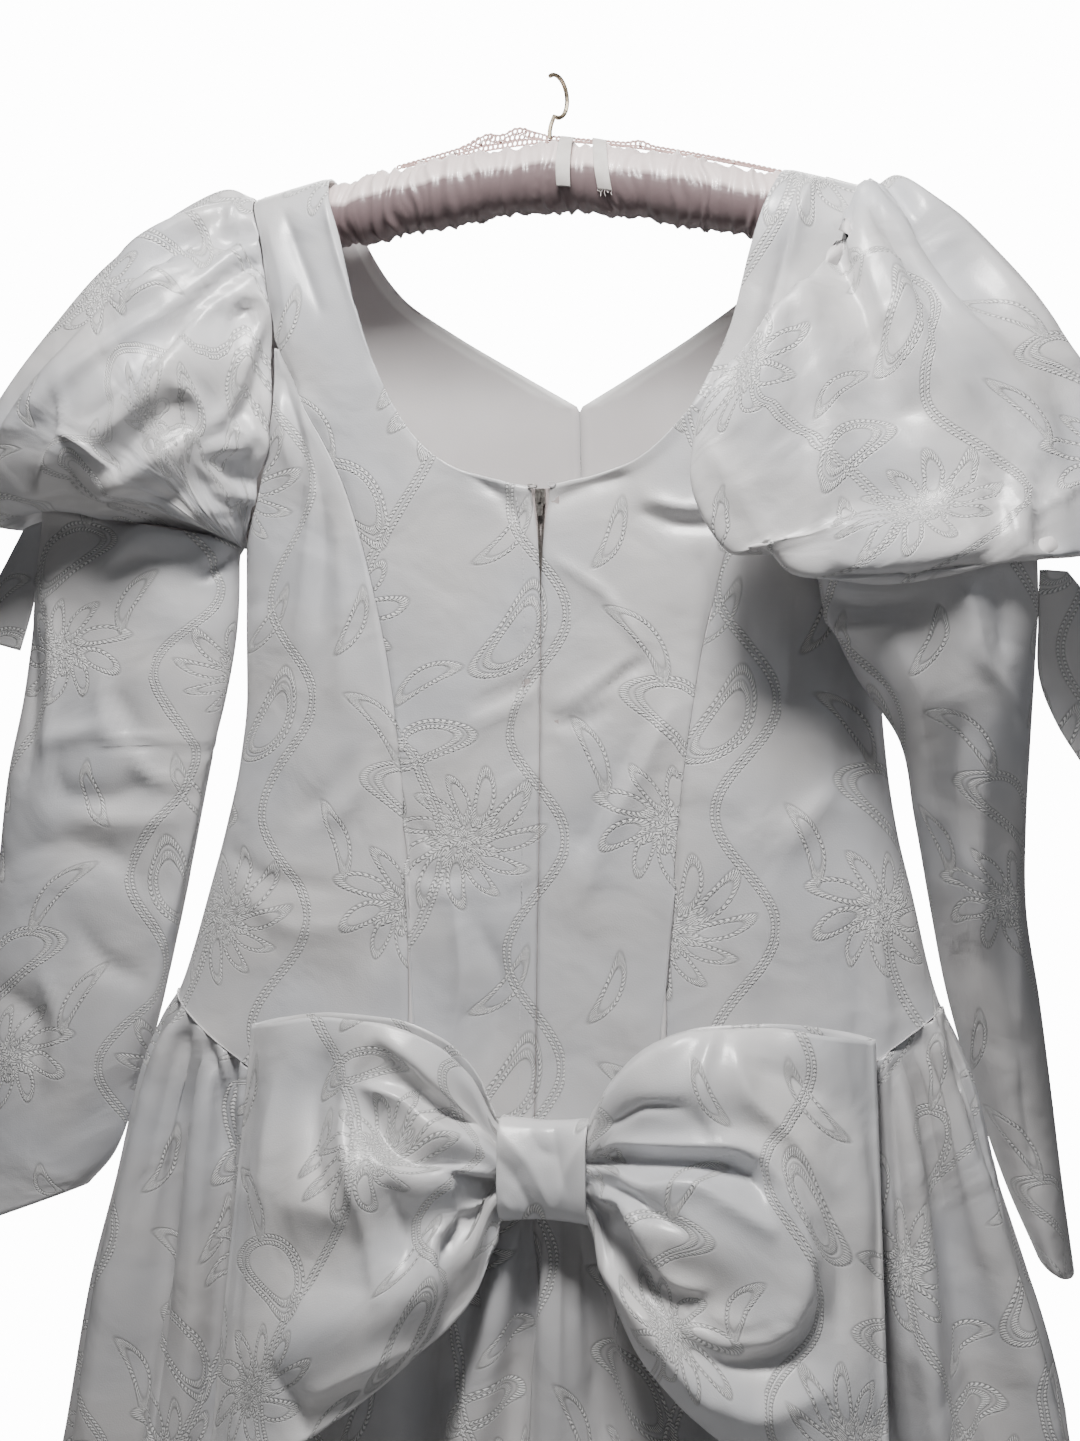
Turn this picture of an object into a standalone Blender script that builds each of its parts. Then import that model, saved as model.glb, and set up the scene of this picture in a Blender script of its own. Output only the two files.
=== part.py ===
"""Wedding gown on a padded hanger, each cut piece and each fitting as a closed solid.

Metres, +Z up. The front of the gown faces -Y and its back faces +Y. The wearer's left is +X.
The origin is the inside of the hook's bend, where a rail carries it. "Drop" is the distance below it.
"""

import math
from bisect import bisect_right

import bmesh
import bpy
from mathutils import Matrix, Vector

for existing in list(bpy.data.objects):
    bpy.data.objects.remove(existing)

# ---- driving dimensions -------------------------------------------------------------------------
WALL = 0.0016  # satin with its lining, as one wall
SEAM = 0.0003  # gap between two pieces that are sewn together
SEWN = 0.0004  # the same gap where the two pieces' facets don't meet point to point
MITRE = 0.55  # at a sharp fold the wall's inner corner lies at most 1 / MITRE walls away
ROUND = 2.4  # how square the body's ring is: 2 would be an ellipse
HANG_TILT = 0.030  # the right shoulder hangs lower: metres down for each metre to the right
TILT_FULL, TILT_NONE = 0.10, 0.30  # drops between which that tilt dies out

SHOULDER_TOP = 0.0412  # drop of the hanger's top at its middle
SHOULDER_FALL = 0.0255  # how much lower it is at NECK_HALF
SHOULDER_CURVE = 1.45
NECK_HALF = 0.154  # half the width of the neck opening at the shoulders
SHOULDER_TIP = 0.2085  # where the shoulder seam meets the sleeve
SHOULDER_ROUND = 0.040  # height over which the cloth turns over the shoulder
SHOULDER_ROW = 0.090  # a panel whose first row is above this drop starts at the shoulder seam
NECK_DROP = 0.277  # drop of the back neckline at the zip
WAIST_SIDE, WAIST_POINT = 0.612, 0.722  # drop of the waist seam at the side and at its point
WAIST_CURVE = 1.4
WAIST_GAP = 0.0006
WAIST_FOLLOW, WAIST_SHARE = 6, 0.4  # how late, and how far, a panel's rows bend towards the waist's point
BEYOND = 1.0  # a distance from the middle that is outside the body, so its edge is the side seam
SETTLING_STEPS, ARC_STEPS = 12, 400  # steps that find a seam's end at the waist, and lengths along the hem
HEM_DROP = 1.540

# The body's rings. Columns: drop, half width on the left, on the right, depth behind, depth in front.
FORM = [
    (0.040, 0.264, 0.264, 0.044, 0.044),
    (0.120, 0.250, 0.250, 0.047, 0.055),
    (0.200, 0.236, 0.236, 0.050, 0.082),
    (0.308, 0.2150, 0.2150, 0.051, 0.092),
    (0.360, 0.2150, 0.2150, 0.051, 0.086),
    (0.410, 0.2145, 0.2145, 0.052, 0.076),
    (0.457, 0.2195, 0.2180, 0.054, 0.070),
    (0.500, 0.2290, 0.2245, 0.056, 0.071),
    (0.540, 0.2400, 0.2340, 0.059, 0.073),
    (0.600, 0.2580, 0.2480, 0.063, 0.077),
    (0.663, 0.2850, 0.2740, 0.068, 0.084),
    (0.740, 0.3030, 0.2930, 0.078, 0.095),
    (0.817, 0.3230, 0.3150, 0.090, 0.106),
    (0.930, 0.3420, 0.3420, 0.105, 0.122),
    (1.200, 0.4020, 0.4020, 0.150, 0.165),
    (1.560, 0.4740, 0.4740, 0.206, 0.216),
]
# Neckline edges. Columns: drop, distance from the middle.
BACK_NECK = [(0.0643, 0.1540), (0.0800, 0.1485), (0.1050, 0.1395), (0.1400, 0.1300), (0.1705, 0.1225)]
BACK_NECK += [(0.2080, 0.1072), (0.2379, 0.0890), (0.2615, 0.0627), (0.2725, 0.0340), (0.2770, 0.0065)]
FRONT_NECK = [(0.0643, 0.1540), (0.0850, 0.1500), (0.1080, 0.1400), (0.1360, 0.1200), (0.1580, 0.0880)]
FRONT_NECK += [(0.1830, 0.0450), (0.2088, 0.0000)]
# The zip's edge below the neck: it gapes at the top. Columns: drop, distance from the middle.
ZIP_EDGE = [(0.2770, 0.0065), (0.3150, 0.0016), (0.3500, 0.0002), (0.7300, 0.0002)]
# Armhole and princess seams. Columns: drop, distance from the middle behind, in front.
ARMHOLE = [
    (0.0776, 0.2085, 0.2085),
    (0.0815, 0.2070, 0.2066),
    (0.0925, 0.2025, 0.2010),
    (0.1125, 0.1955, 0.1925),
    (0.1470, 0.1905, 0.1840),
    (0.1770, 0.1850, 0.1780),
    (0.2149, 0.1860, 0.1790),
    (0.2450, 0.1915, 0.1860),
    (0.2759, 0.2000, 0.1965),
    (0.2960, 0.2085, 0.2068),
    (0.3080, 0.2150, 0.2150),
]
PRINCESS = [
    (0.1770, 0.1850, 0.1780),
    (0.2149, 0.1663, 0.1500),
    (0.2759, 0.1336, 0.1230),
    (0.3470, 0.1125, 0.1080),
    (0.4100, 0.1000, 0.0950),
    (0.4976, 0.0895, 0.0840),
    (0.5416, 0.0865, 0.0810),
    (0.6290, 0.0795, 0.0760),
]
# Rows of a centre panel. Columns: drop at the neck or middle edge, drop at the armhole or princess edge.
CENTRE_BACK_ROWS = [(0.0643, 0.0776), (0.0683, 0.0815), (0.0800, 0.0925), (0.1050, 0.1125)]
CENTRE_BACK_ROWS += [(0.1400, 0.1470), (0.1705, 0.1770), (0.1790, 0.1840), (0.2080, 0.2149), (0.2379, 0.2450)]
CENTRE_BACK_ROWS += [(0.2615, 0.2759), (0.2725, 0.3080), (0.2770, 0.3450), (0.3150, 0.3850)]
CENTRE_BACK_ROWS += [(0.3800, 0.4300), (0.4500, 0.4800), (0.5400, 0.5350), (0.6350, 0.5850)]
CENTRE_FRONT_ROWS = [(0.0643, 0.0776), (0.0683, 0.0815), (0.0780, 0.0925), (0.0950, 0.1125)]
CENTRE_FRONT_ROWS += [(0.1150, 0.1470), (0.1360, 0.1770), (0.1400, 0.1840), (0.1580, 0.2149)]
CENTRE_FRONT_ROWS += [(0.1830, 0.2450), (0.2088, 0.2759), (0.2500, 0.3080), (0.3000, 0.3450)]
CENTRE_FRONT_ROWS += [(0.3600, 0.3850), (0.4200, 0.4300), (0.4900, 0.4800), (0.5600, 0.5350)]
CENTRE_FRONT_ROWS += [(0.6400, 0.5850)]
# Rows of a side panel. Columns: drop at the princess seam, drop at the armhole or side seam.
SIDE_ROWS = [(0.1840, 0.1830), (0.2149, 0.2149), (0.2450, 0.2450), (0.2759, 0.2759), (0.3080, 0.2960)]
SIDE_ROWS += [(0.3450, 0.3080), (0.3850, 0.3650), (0.4300, 0.4200), (0.4800, 0.4750), (0.5350, 0.5300)]
SIDE_ROWS += [(0.5850, 0.5750)]
PANEL_ACROSS = 6

# Puffed sleeve rings, as distances from the middle of the gown. Columns: shoulder side, its drop,
# underarm side, its drop, back point: out, behind, drop; how far the front bulges; the middle's y; how
# far, in radians, the cloth's lengthwise lines turn forwards under the arm.
PUFF_LEFT = [
    (0.232, 0.0760, 0.2175, 0.3110, 0.210, 0.054, 0.195, 0.045, 0.000, 0.00),
    (0.262, 0.0880, 0.2180, 0.3125, 0.228, 0.072, 0.205, 0.056, 0.000, 0.00),
    (0.302, 0.1120, 0.2185, 0.3138, 0.252, 0.086, 0.212, 0.064, 0.000, 0.00),
    (0.345, 0.1560, 0.2190, 0.3150, 0.276, 0.092, 0.226, 0.068, 0.000, 0.00),
    (0.385, 0.2050, 0.2195, 0.3162, 0.298, 0.090, 0.246, 0.068, 0.000, 0.00),
    (0.415, 0.2520, 0.2200, 0.3174, 0.310, 0.082, 0.266, 0.064, 0.000, 0.00),
    (0.424, 0.2860, 0.2205, 0.3186, 0.312, 0.068, 0.283, 0.056, 0.000, 0.00),
    (0.396, 0.3000, 0.2212, 0.3200, 0.300, 0.049, 0.290, 0.043, 0.000, 0.00),
]
PUFF_RIGHT = [
    (0.226, 0.0750, 0.2190, 0.3105, 0.1780, 0.0620, 0.1980, 0.0460, 0.0000, 0.00),
    (0.248, 0.0820, 0.2222, 0.3088, 0.1556, 0.0798, 0.2171, 0.0519, 0.0167, 0.07),
    (0.280, 0.1040, 0.2217, 0.3106, 0.1232, 0.1026, 0.2251, 0.0536, 0.0088, 0.04),
    (0.314, 0.1450, 0.2181, 0.3138, 0.1132, 0.1150, 0.2627, 0.0726, 0.0190, 0.20),
    (0.343, 0.1920, 0.2200, 0.3144, 0.1206, 0.1172, 0.2905, 0.0747, 0.0181, 0.23),
    (0.364, 0.2450, 0.2159, 0.3156, 0.1437, 0.1152, 0.3201, 0.0673, 0.0242, 0.42),
    (0.374, 0.2960, 0.2012, 0.3267, 0.1752, 0.1172, 0.3191, 0.0495, 0.0434, 0.70),
    (0.352, 0.3260, 0.1795, 0.3316, 0.2057, 0.1116, 0.3432, 0.0401, 0.0579, 0.91),
]
# Fitted sleeve rings. Columns: outer side, its drop, inner side, its drop, middle's y, half depth.
LOWER_LEFT = [
    (0.3660, 0.2860, 0.2220, 0.3215, 0.000, 0.031),
    (0.3710, 0.3400, 0.2235, 0.3600, 0.000, 0.032),
    (0.3800, 0.4130, 0.2323, 0.4130, 0.000, 0.030),
    (0.3910, 0.4640, 0.2445, 0.4600, 0.000, 0.029),
    (0.3990, 0.5190, 0.2577, 0.5170, -0.002, 0.028),
    (0.4178, 0.6240, 0.2790, 0.6210, -0.004, 0.026),
    (0.4285, 0.6900, 0.2970, 0.6800, -0.005, 0.024),
    (0.4335, 0.7440, 0.3160, 0.7300, -0.005, 0.022),
    (0.4340, 0.7880, 0.3350, 0.7516, -0.005, 0.020),
]
LOWER_RIGHT = [
    (0.3120, 0.3180, 0.1800, 0.3360, 0.060, 0.029),
    (0.3130, 0.3500, 0.1850, 0.3620, 0.056, 0.032),
    (0.3110, 0.3950, 0.2010, 0.4000, 0.044, 0.038),
    (0.3085, 0.4400, 0.2265, 0.4400, 0.022, 0.043),
    (0.3060, 0.4900, 0.2350, 0.4900, -0.004, 0.046),
    (0.3060, 0.5500, 0.2440, 0.5500, -0.034, 0.050),
    (0.3150, 0.6148, 0.2550, 0.6148, -0.064, 0.052),
    (0.3230, 0.6800, 0.2720, 0.6800, -0.082, 0.051),
    (0.3300, 0.7400, 0.2920, 0.7400, -0.092, 0.050),
    (0.3380, 0.8000, 0.3120, 0.7860, -0.098, 0.049),
]
PUFF_AROUND, LOWER_AROUND = 44, 28
PUFF_GATHERS = 13  # as many as would go all round, but they fade out under the arm
GATHER_FADE_BACK, GATHER_FADE_FRONT = 1.6, 2.0  # powers: how fast they fade
GATHER_UNEVEN, GATHER_START = 0.9, 0.4
GATHER_DEPTH = [0.0050, 0.0075, 0.0070, 0.0060, 0.0055, 0.0050, 0.0045, 0.0015]

# Tails of the sleeve bows, which hang from the outer side of each sleeve. Columns: drop below the
# sleeve's top, the inner and the outer edge's distance from the sleeve, y and extra drop of the outer edge.
TAIL_LEFT = [
    (0.010, 0.0007, 0.020, -0.012, 0.004),
    (0.040, 0.0007, 0.040, -0.020, 0.006),
    (0.070, 0.0030, 0.056, -0.028, 0.000),
    (0.100, 0.0090, 0.068, -0.032, -0.014),
]
TAIL_RIGHT = [
    (0.018, 0.0007, 0.018, -0.014, 0.000),
    (0.050, 0.0007, 0.040, -0.030, -0.006),
    (0.082, 0.0030, 0.060, -0.042, -0.010),
    (0.112, 0.0160, 0.072, -0.050, -0.006),
    (0.138, 0.0340, 0.078, -0.056, 0.000),
]
TAIL_ACROSS = 4
TAIL_WAVE, TAIL_VARIES, TAIL_RIPPLE = 0.0035, 0.5, 40.0  # depth of its curl, how it varies down the tail

SKIRT_FOLDS = 24
SKIRT_GATHERS = 48
SKIRT_QUARTER = 36  # columns from the side seam to the middle seam
# Rows of the skirt. Columns: share of the way to the hem, depth of the folds, depth of the gathers.
SKIRT_ROWS = [
    (0.000, 0.0006, 0.0020),
    (0.022, 0.0060, 0.0060),
    (0.070, 0.0130, 0.0060),
    (0.160, 0.0240, 0.0024),
    (0.340, 0.0380, 0.0000),
    (0.640, 0.0520, 0.0000),
    (1.000, 0.0660, 0.0000),
]
# How uneven the folds are all the way round. Columns: size, how many times round, start.
FOLD_SPACING = [(0.9, 3, 0.6), (0.6, 7, 2.0)]
FOLD_DEPTHS = [(0.145, 5, 1.1), (0.091, 11, 0.0)]
FOLD_EVEN = 0.727
FOLD_LEAN, FOLD_LEAN_START = 0.18, 0.7  # a fold's one side is steeper
GATHER_SPACING = 1.2
NEAR_END = 0.001  # the cloth's direction is read this far inside its upper and lower edge
FOLD_OUTWARD = 0.32  # share of a fold's depth that stands outside the body's rings
SKIRT_STEP = 0.0006  # share of the way round between two points that give the cloth's direction
PANEL_PART = 0.0002  # share of the way round that parts two skirt panels at their seam

BOW_X, BOW_DROP = -0.013, 0.708
KNOT_WIDTH, KNOT_HEIGHT, KNOT_DEPTH = 0.056, 0.066, 0.036
KNOT_SEAT = 0.0021  # how far the knot sinks between the outermost gathers that it rests on
KNOT_AROUND, KNOT_SQUARE = 24, 0.75
# Rings of the knot. Columns: share of its width, how much of its height and depth is left there.
KNOT_RINGS = [(0.0, 1.0), (0.25, 0.95), (0.5, 0.93), (0.75, 0.95), (1.0, 1.0)]
# The bow's loops. Columns: distance from the knot's middle, top and bottom above the knot's middle,
# half the space between the two layers, depth of the folds.
BOW_LOOP = [
    (0.0080, 0.024, -0.024, 0.0060, 0.0010),
    (0.0285, 0.027, -0.030, 0.0085, 0.0020),
    (0.0450, 0.058, -0.076, 0.0160, 0.0070),
    (0.0680, 0.080, -0.106, 0.0230, 0.0100),
    (0.1000, 0.091, -0.136, 0.0270, 0.0085),
    (0.1400, 0.093, -0.166, 0.0240, 0.0050),
    (0.1780, 0.087, -0.192, 0.0150, 0.0020),
    (0.1920, 0.084, -0.201, 0.0090, 0.0010),
    (0.1985, 0.082, -0.205, 0.0050, 0.0000),
]
BOW_TALL = 15
BOW_FLARE = 0.013  # how much further out a loop's outer fold lies at its lower end
BOW_FLAT = (0.14, 0.185)  # distances between which a loop's edges grow as full as its middle
BOW_BELLY = 0.40  # how full its upper and lower edges are nearer the knot
BOW_RIDGES, BOW_SLANT, BOW_APART = 2.6, 6.0, 0.15  # folds from top to bottom, their slant, left from right
FRONT_FOLD, REAR_FOLD = 0.8, 0.25  # share of the folds' depth in the loop's two layers
KNOT_BLEND = (0.026, 0.070)  # distances between which a loop comes off the knot's middle
BOW_CLEAR = 0.010  # from the skirt's folds to the loops' rear layer

PAD_HALF, PAD_HEIGHT, PAD_DEPTH = 0.196, 0.0506, 0.046
PAD_AROUND, PAD_ALONG, PAD_END = 16, 24, 8
PAD_LEAST = 0.18  # share of the full height left at the pad's ends
WIRE = 0.0015  # radius of the hook's wire
HOOK_BEND = 0.0140  # radius of the bend
HOOK_TURN = math.radians(70)  # the hook is swivelled this far out of the hanger's plane
HOOK_STEM = (0.0040, 0.0015)  # where the stem rises from the pad
STEM_STEPS = [(0, 0, 0), (0, 0, 0.0050), (-0.0008, 0, 0.0090)]  # from there up to the bend
BEND_DEGREES = (-100, 131, 14)  # from the stem round to the tip
LACE_Y, LACE_WALL, LACE_ALONG = -0.0045, 0.0012, 30
LACE_SEAT = 0.0006  # how far the hanger has curved down where the edging stands, less the gap
# Height of the crochet edging along the hanger. Columns: x, height.
LACE = [(-0.150, 0.0025), (-0.100, 0.0030), (-0.066, 0.0035), (-0.056, 0.0060), (-0.045, 0.0035)]
LACE += [(-0.020, 0.0030), (0.004, 0.0045), (0.014, 0.0080), (0.028, 0.0125), (0.038, 0.0095)]
LACE += [(0.048, 0.0115), (0.062, 0.0065), (0.085, 0.0040), (0.108, 0.0025)]
RIBBON_HALF, RIBBON_WALL, RIBBON_CLEAR = 0.0047, 0.0010, 0.0005
RIBBON_ROWS, RIBBON_TURNS = 6, (84, -4)  # degrees round the pad, from its top to the ribbon's end
# Ribbon tails over the pad. Columns: middle at the top, middle at the end.
RIBBONS = [(-0.0094, -0.0094), (-0.0300, -0.0370)]

ZIP_TAPE_HALF, ZIP_TAPE_WALL = 0.012, 0.0011
ZIP_TOP, ZIP_BOTTOM = 0.2785, 0.690
SLIDER_HALF, SLIDER_LONG, SLIDER_THICK = 0.0032, 0.0105, 0.0024
SLIDER_CORNER, SLIDER_LIFT = 0.0011, 0.0009  # its rounded corners, and its underside above the tape
SLIDER_REACH = 0.300  # drop down to which the tape's bulge keeps the slider out
PULL_HALF, PULL_LONG, PULL_THICK, PULL_TAPER = 0.0022, 0.0125, 0.0009, 0.72
EYE_HALF, EYE_LONG = 0.0013, 0.0048  # the pull's eye, which the slider's bridge passes through
BRIDGE_HALF, BRIDGE_REACH, BRIDGE_WALL = 0.0009, 0.0038, 0.0008
PULL_CLEAR = 0.0004
PULL_DROP = 0.2840  # drop of the pull's hinge


# ---- shared shapes ------------------------------------------------------------------------------
def curve(rows, column):
    """A table's column as a smooth function of its first column, without overshoot."""
    keys = [row[0] for row in rows]
    values = [row[column] for row in rows]
    rises = [(b - a) / (q - p) for a, b, p, q in zip(values, values[1:], keys, keys[1:])]
    inner = [0.0 if a * b <= 0 else 2 * a * b / (a + b) for a, b in zip(rises, rises[1:])]
    slopes = [rises[0]] + inner + [rises[-1]]

    def at(key):
        key = min(max(key, keys[0]), keys[-1])
        i = min(max(bisect_right(keys, key) - 1, 0), len(rises) - 1)
        wide = keys[i + 1] - keys[i]
        t = (key - keys[i]) / wide
        start = values[i] * (1 + 2 * t) * (1 - t) ** 2 + slopes[i] * wide * t * (1 - t) ** 2
        end = values[i + 1] * (3 - 2 * t) * t**2 + slopes[i + 1] * wide * (t - 1) * t**2
        return start + end

    return at


def mix(a, b, t):
    return a + (b - a) * t


def eased(low, high, value):
    """0 below low, 1 above high, smooth between them."""
    t = min(max((value - low) / (high - low), 0.0), 1.0)
    return t * t * (3 - 2 * t)


def power(value, exponent):
    return math.copysign(abs(value) ** exponent, value)


HALF_LEFT, HALF_RIGHT, DEPTH_BACK, DEPTH_FRONT = (curve(FORM, column) for column in (1, 2, 3, 4))
BACK_NECK_X, FRONT_NECK_X, ZIP_EDGE_X = curve(BACK_NECK, 1), curve(FRONT_NECK, 1), curve(ZIP_EDGE, 1)
ARMHOLE_X = {True: curve(ARMHOLE, 1), False: curve(ARMHOLE, 2)}
PRINCESS_X = {True: curve(PRINCESS, 1), False: curve(PRINCESS, 2)}


def pad_top(x):
    """Drop of the hanger's upper line."""
    return SHOULDER_TOP + SHOULDER_FALL * abs(x / NECK_HALF) ** SHOULDER_CURVE


def shoulder(x):
    """Drop of the shoulder seam, which lies on the hanger."""
    return pad_top(x) - WALL - SEAM


def settled(point):
    """The hanger and the shoulders hang a little lower on the right."""
    fade = 1 - eased(TILT_FULL, TILT_NONE, -point.z)
    return Vector((point.x, point.y, point.z + HANG_TILT * fade * point.x))


def body_point(angle, drop):
    """A point of the gown's outside: angle 0 is the left side seam, 90 degrees the middle of the back."""
    c, s = math.cos(angle), math.sin(angle)
    x = (HALF_LEFT if c > 0 else HALF_RIGHT)(drop) * power(c, 2 / ROUND)
    y = (DEPTH_BACK if s > 0 else DEPTH_FRONT)(drop) * power(s, 2 / ROUND)
    over = min(max((drop - shoulder(x)) / SHOULDER_ROUND, 0.0), 1.0)
    return Vector((x, y * math.sqrt(1 - (1 - over) ** 2), -drop))


def outward(surface, across, down, step=0.0002):
    """Unit normal of a surface whose across runs anticlockwise, seen from above, and whose down falls."""
    along = surface(across + step, down) - surface(across - step, down)
    fall = surface(across, down + step) - surface(across, down - step)
    return fall.cross(along).normalized()


def angle_at(x, drop, back):
    """The body's angle at a distance x from the middle, on the back or the front."""
    half = (HALF_LEFT if x > 0 else HALF_RIGHT)(drop)
    turn = math.acos(min(abs(x) / half, 1.0) ** (ROUND / 2))
    turn = turn if x > 0 else math.pi - turn
    return turn if back else -turn


def waist(angle):
    """Drop of the waist seam, which dips to a point behind and in front."""
    share = abs(math.cos(angle)) ** (2 / ROUND * WAIST_CURVE)
    return mix(WAIST_POINT, WAIST_SIDE, share)


def waist_angle(edge, side, back):
    """The angle at which a seam, given as its distance from the middle at a drop, meets the waist."""
    angle = angle_at(side * edge(WAIST_POINT), WAIST_POINT, back)
    for _ in range(SETTLING_STEPS):
        angle = angle_at(side * edge(waist(angle)), waist(angle), back)
    return angle


def waist_columns():
    """Angles of the bodice's columns where they meet the waist, all the way round."""
    angles = []
    for side in (1, -1):
        for back in (True, False):
            seam, middle = angle_at(side * BEYOND, WAIST_SIDE, back), math.pi / 2 * (1 if back else -1)
            princess = waist_angle(PRINCESS_X[back], side, back)
            for start, end in ((seam, princess), (princess, middle)):
                shares = [step / PANEL_ACROSS for step in range(PANEL_ACROSS)]
                angles += [mix(start, end, share) % (2 * math.pi) for share in shares]
            angles.append(middle % (2 * math.pi))
    return sorted(angles)


WAIST_COLUMNS = waist_columns()


def waist_edge(angle):
    """Drop of the bodice's lower edge, which is straight from each of its columns to the next."""
    angle %= 2 * math.pi
    nearest = bisect_right(WAIST_COLUMNS, angle)
    before, after = WAIST_COLUMNS[nearest - 1], WAIST_COLUMNS[nearest % len(WAIST_COLUMNS)]
    wide = (after - before) % (2 * math.pi)
    share = (angle - before) % (2 * math.pi) / wide if wide else 0.0
    return mix(waist(before), waist(after), share)


def back_y(x, drop):
    """How far behind the middle the gown's back lies."""
    half = (HALF_LEFT if x > 0 else HALF_RIGHT)(drop)
    return DEPTH_BACK(drop) * max(1 - abs(x / half) ** ROUND, 0.0) ** (1 / ROUND)


def material(name, colour, roughness, metallic=0.0):
    made = bpy.data.materials.new(name)
    made.use_nodes = True
    shader = made.node_tree.nodes["Principled BSDF"]
    shader.inputs["Base Color"].default_value = (*colour, 1.0)
    shader.inputs["Roughness"].default_value = roughness
    shader.inputs["Metallic"].default_value = metallic
    return made


def finish(name, bm, finishes):
    """Turns a bmesh into a named, smooth object with its own material."""
    bmesh.ops.recalc_face_normals(bm, faces=bm.faces)
    if bm.calc_volume(signed=True) < 0:
        bmesh.ops.reverse_faces(bm, faces=bm.faces)
    mesh = bpy.data.meshes.new(name)
    bm.to_mesh(mesh)
    bm.free()
    mesh.shade_smooth()
    mesh.set_sharp_from_angle(angle=math.radians(50))
    mesh.materials.append(material(name, *finishes))
    made = bpy.data.objects.new(name, mesh)
    bpy.context.scene.collection.objects.link(made)
    return made


def cloth(name, columns, rows, place, tube=False, finishes=((0.80, 0.80, 0.81), 0.42)):
    """A cloth wall. place(column, row) gives its outer and its inner point, and a tube closes on itself."""
    bm = bmesh.new()
    skins = []
    for skin in (0, 1):
        grid = bmesh.ops.create_grid(bm, x_segments=columns, y_segments=rows, size=0.5)["verts"]
        for vert in grid:
            column = round((vert.co.x + 0.5) * columns)
            row = round((0.5 - vert.co.y) * rows)
            vert.co = place(column % columns if tube else column, row)[skin]
        skins.append(set(grid))
    bmesh.ops.reverse_faces(bm, faces=[face for face in bm.faces if face.verts[0] in skins[1]])
    if tube:
        for skin in skins:
            bmesh.ops.remove_doubles(bm, verts=list(skin), dist=1e-7)
        bm.edges.ensure_lookup_table()
        rims = [edge for edge in bm.edges if edge.is_boundary]
        for top in (True, False):
            ring = [edge for edge in rims if end_of(edge, place, columns, rows) == top]
            bmesh.ops.bridge_loops(bm, edges=ring)
    else:
        bmesh.ops.bridge_loops(bm, edges=[edge for edge in bm.edges if edge.is_boundary])
    return finish(name, bm, finishes)


def end_of(edge, place, columns, rows):
    """True where a tube's boundary edge is on its first ring, False where it is on its last."""
    middle = (edge.verts[0].co + edge.verts[1].co) / 2
    reach = {}
    for row in (0, rows):
        reach[row] = min((middle - place(column, row)[0]).length for column in range(columns))
    return reach[0] < reach[rows]


# ---- bodice -------------------------------------------------------------------------------------
def panel(name, rows, across, edge_in, edge_out, side, back):
    """A bodice panel between two seams. Each edge gives a point's distance from the middle at a drop."""
    last = len(rows)

    def station(row):
        """Angles and drops of a row's two ends. The last row is the waist seam."""
        if row < last:
            drops = rows[row]
            xs = (edge_in(drops[0]), edge_out(drops[1]))
            angles = [angle_at(side * x, drop, back) for x, drop in zip(xs, drops)]
        else:
            angles = [waist_angle(edge, side, back) for edge in (edge_in, edge_out)]
            drops = [waist(angle) for angle in angles]
        return angles, drops

    def outer(column, row):
        angles, drops = station(row)
        t = column / across
        angle, drop = mix(angles[0], angles[1], t), mix(drops[0], drops[1], t)
        if row == last:
            drop = waist(angle)
        elif column not in (0, across):
            drop += (waist(angle) - drop) * (row / last) ** WAIST_FOLLOW * WAIST_SHARE
        return angle, drop

    def place(column, row):
        angle, drop = outer(column, row)
        point = body_point(angle, drop)
        if row == 0 and drop < SHOULDER_ROW:
            drop = shoulder(point.x)
            point = Vector((point.x, 0.0, -drop))
            inward = Vector((0, 0, -WALL))
            point.y = SEAM / 2 if back else -SEAM / 2
        else:
            normal = outward(body_point, angle, drop)
            if row == last:
                normal = Vector((normal.x, normal.y, 0)).normalized()
            inward = -WALL * normal
        nudge = Vector((0, 0, 0))
        if column in (0, across) and abs(point.x) > 0.02:
            toward = 1 if column == 0 else -1
            if column == across and edge_out is SIDE_EDGE[back] and drop > ARMHOLE[-1][0] - 1e-6:
                nudge.y = SEAM / 2 if back else -SEAM / 2
            else:
                nudge.x = side * toward * SEAM / 2
        point += nudge
        return settled(point), settled(point + inward)

    return cloth(name, across, last, place)


def side_edge(back):
    """The outer edge of a side panel: the armhole, then the side seam."""

    def at(drop):
        return ARMHOLE_X[back](drop) if drop < ARMHOLE[-1][0] else BEYOND

    return at


SIDE_EDGE = {back: side_edge(back) for back in (True, False)}


def centre_edges(back):
    """Inner and outer edges of a centre panel."""
    neck, bottom = (BACK_NECK_X, BACK_NECK[-1][0]) if back else (FRONT_NECK_X, FRONT_NECK[-1][0])
    corner = PRINCESS[0][0]

    def inner(drop):
        below = ZIP_EDGE_X(drop) if back else SEAM / 2
        return max(neck(drop), SEAM / 2) if drop < bottom else below

    def outer(drop):
        return ARMHOLE_X[back](drop) if drop <= corner else PRINCESS_X[back](drop)

    return inner, outer


def make_bodice():
    for side, word in ((1, "left"), (-1, "right")):
        inner, outer = centre_edges(True)
        panel(f"back_centre_{word}", CENTRE_BACK_ROWS, PANEL_ACROSS, inner, outer, side, True)
        inner, outer = centre_edges(False)
        panel(f"front_centre_{word}", CENTRE_FRONT_ROWS, PANEL_ACROSS, inner, outer, side, False)
        for back, name in ((True, "back_side"), (False, "front_side")):
            edges = (PRINCESS_X[back], SIDE_EDGE[back])
            panel(f"{name}_{word}", SIDE_ROWS, PANEL_ACROSS, *edges, side, back)


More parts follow.
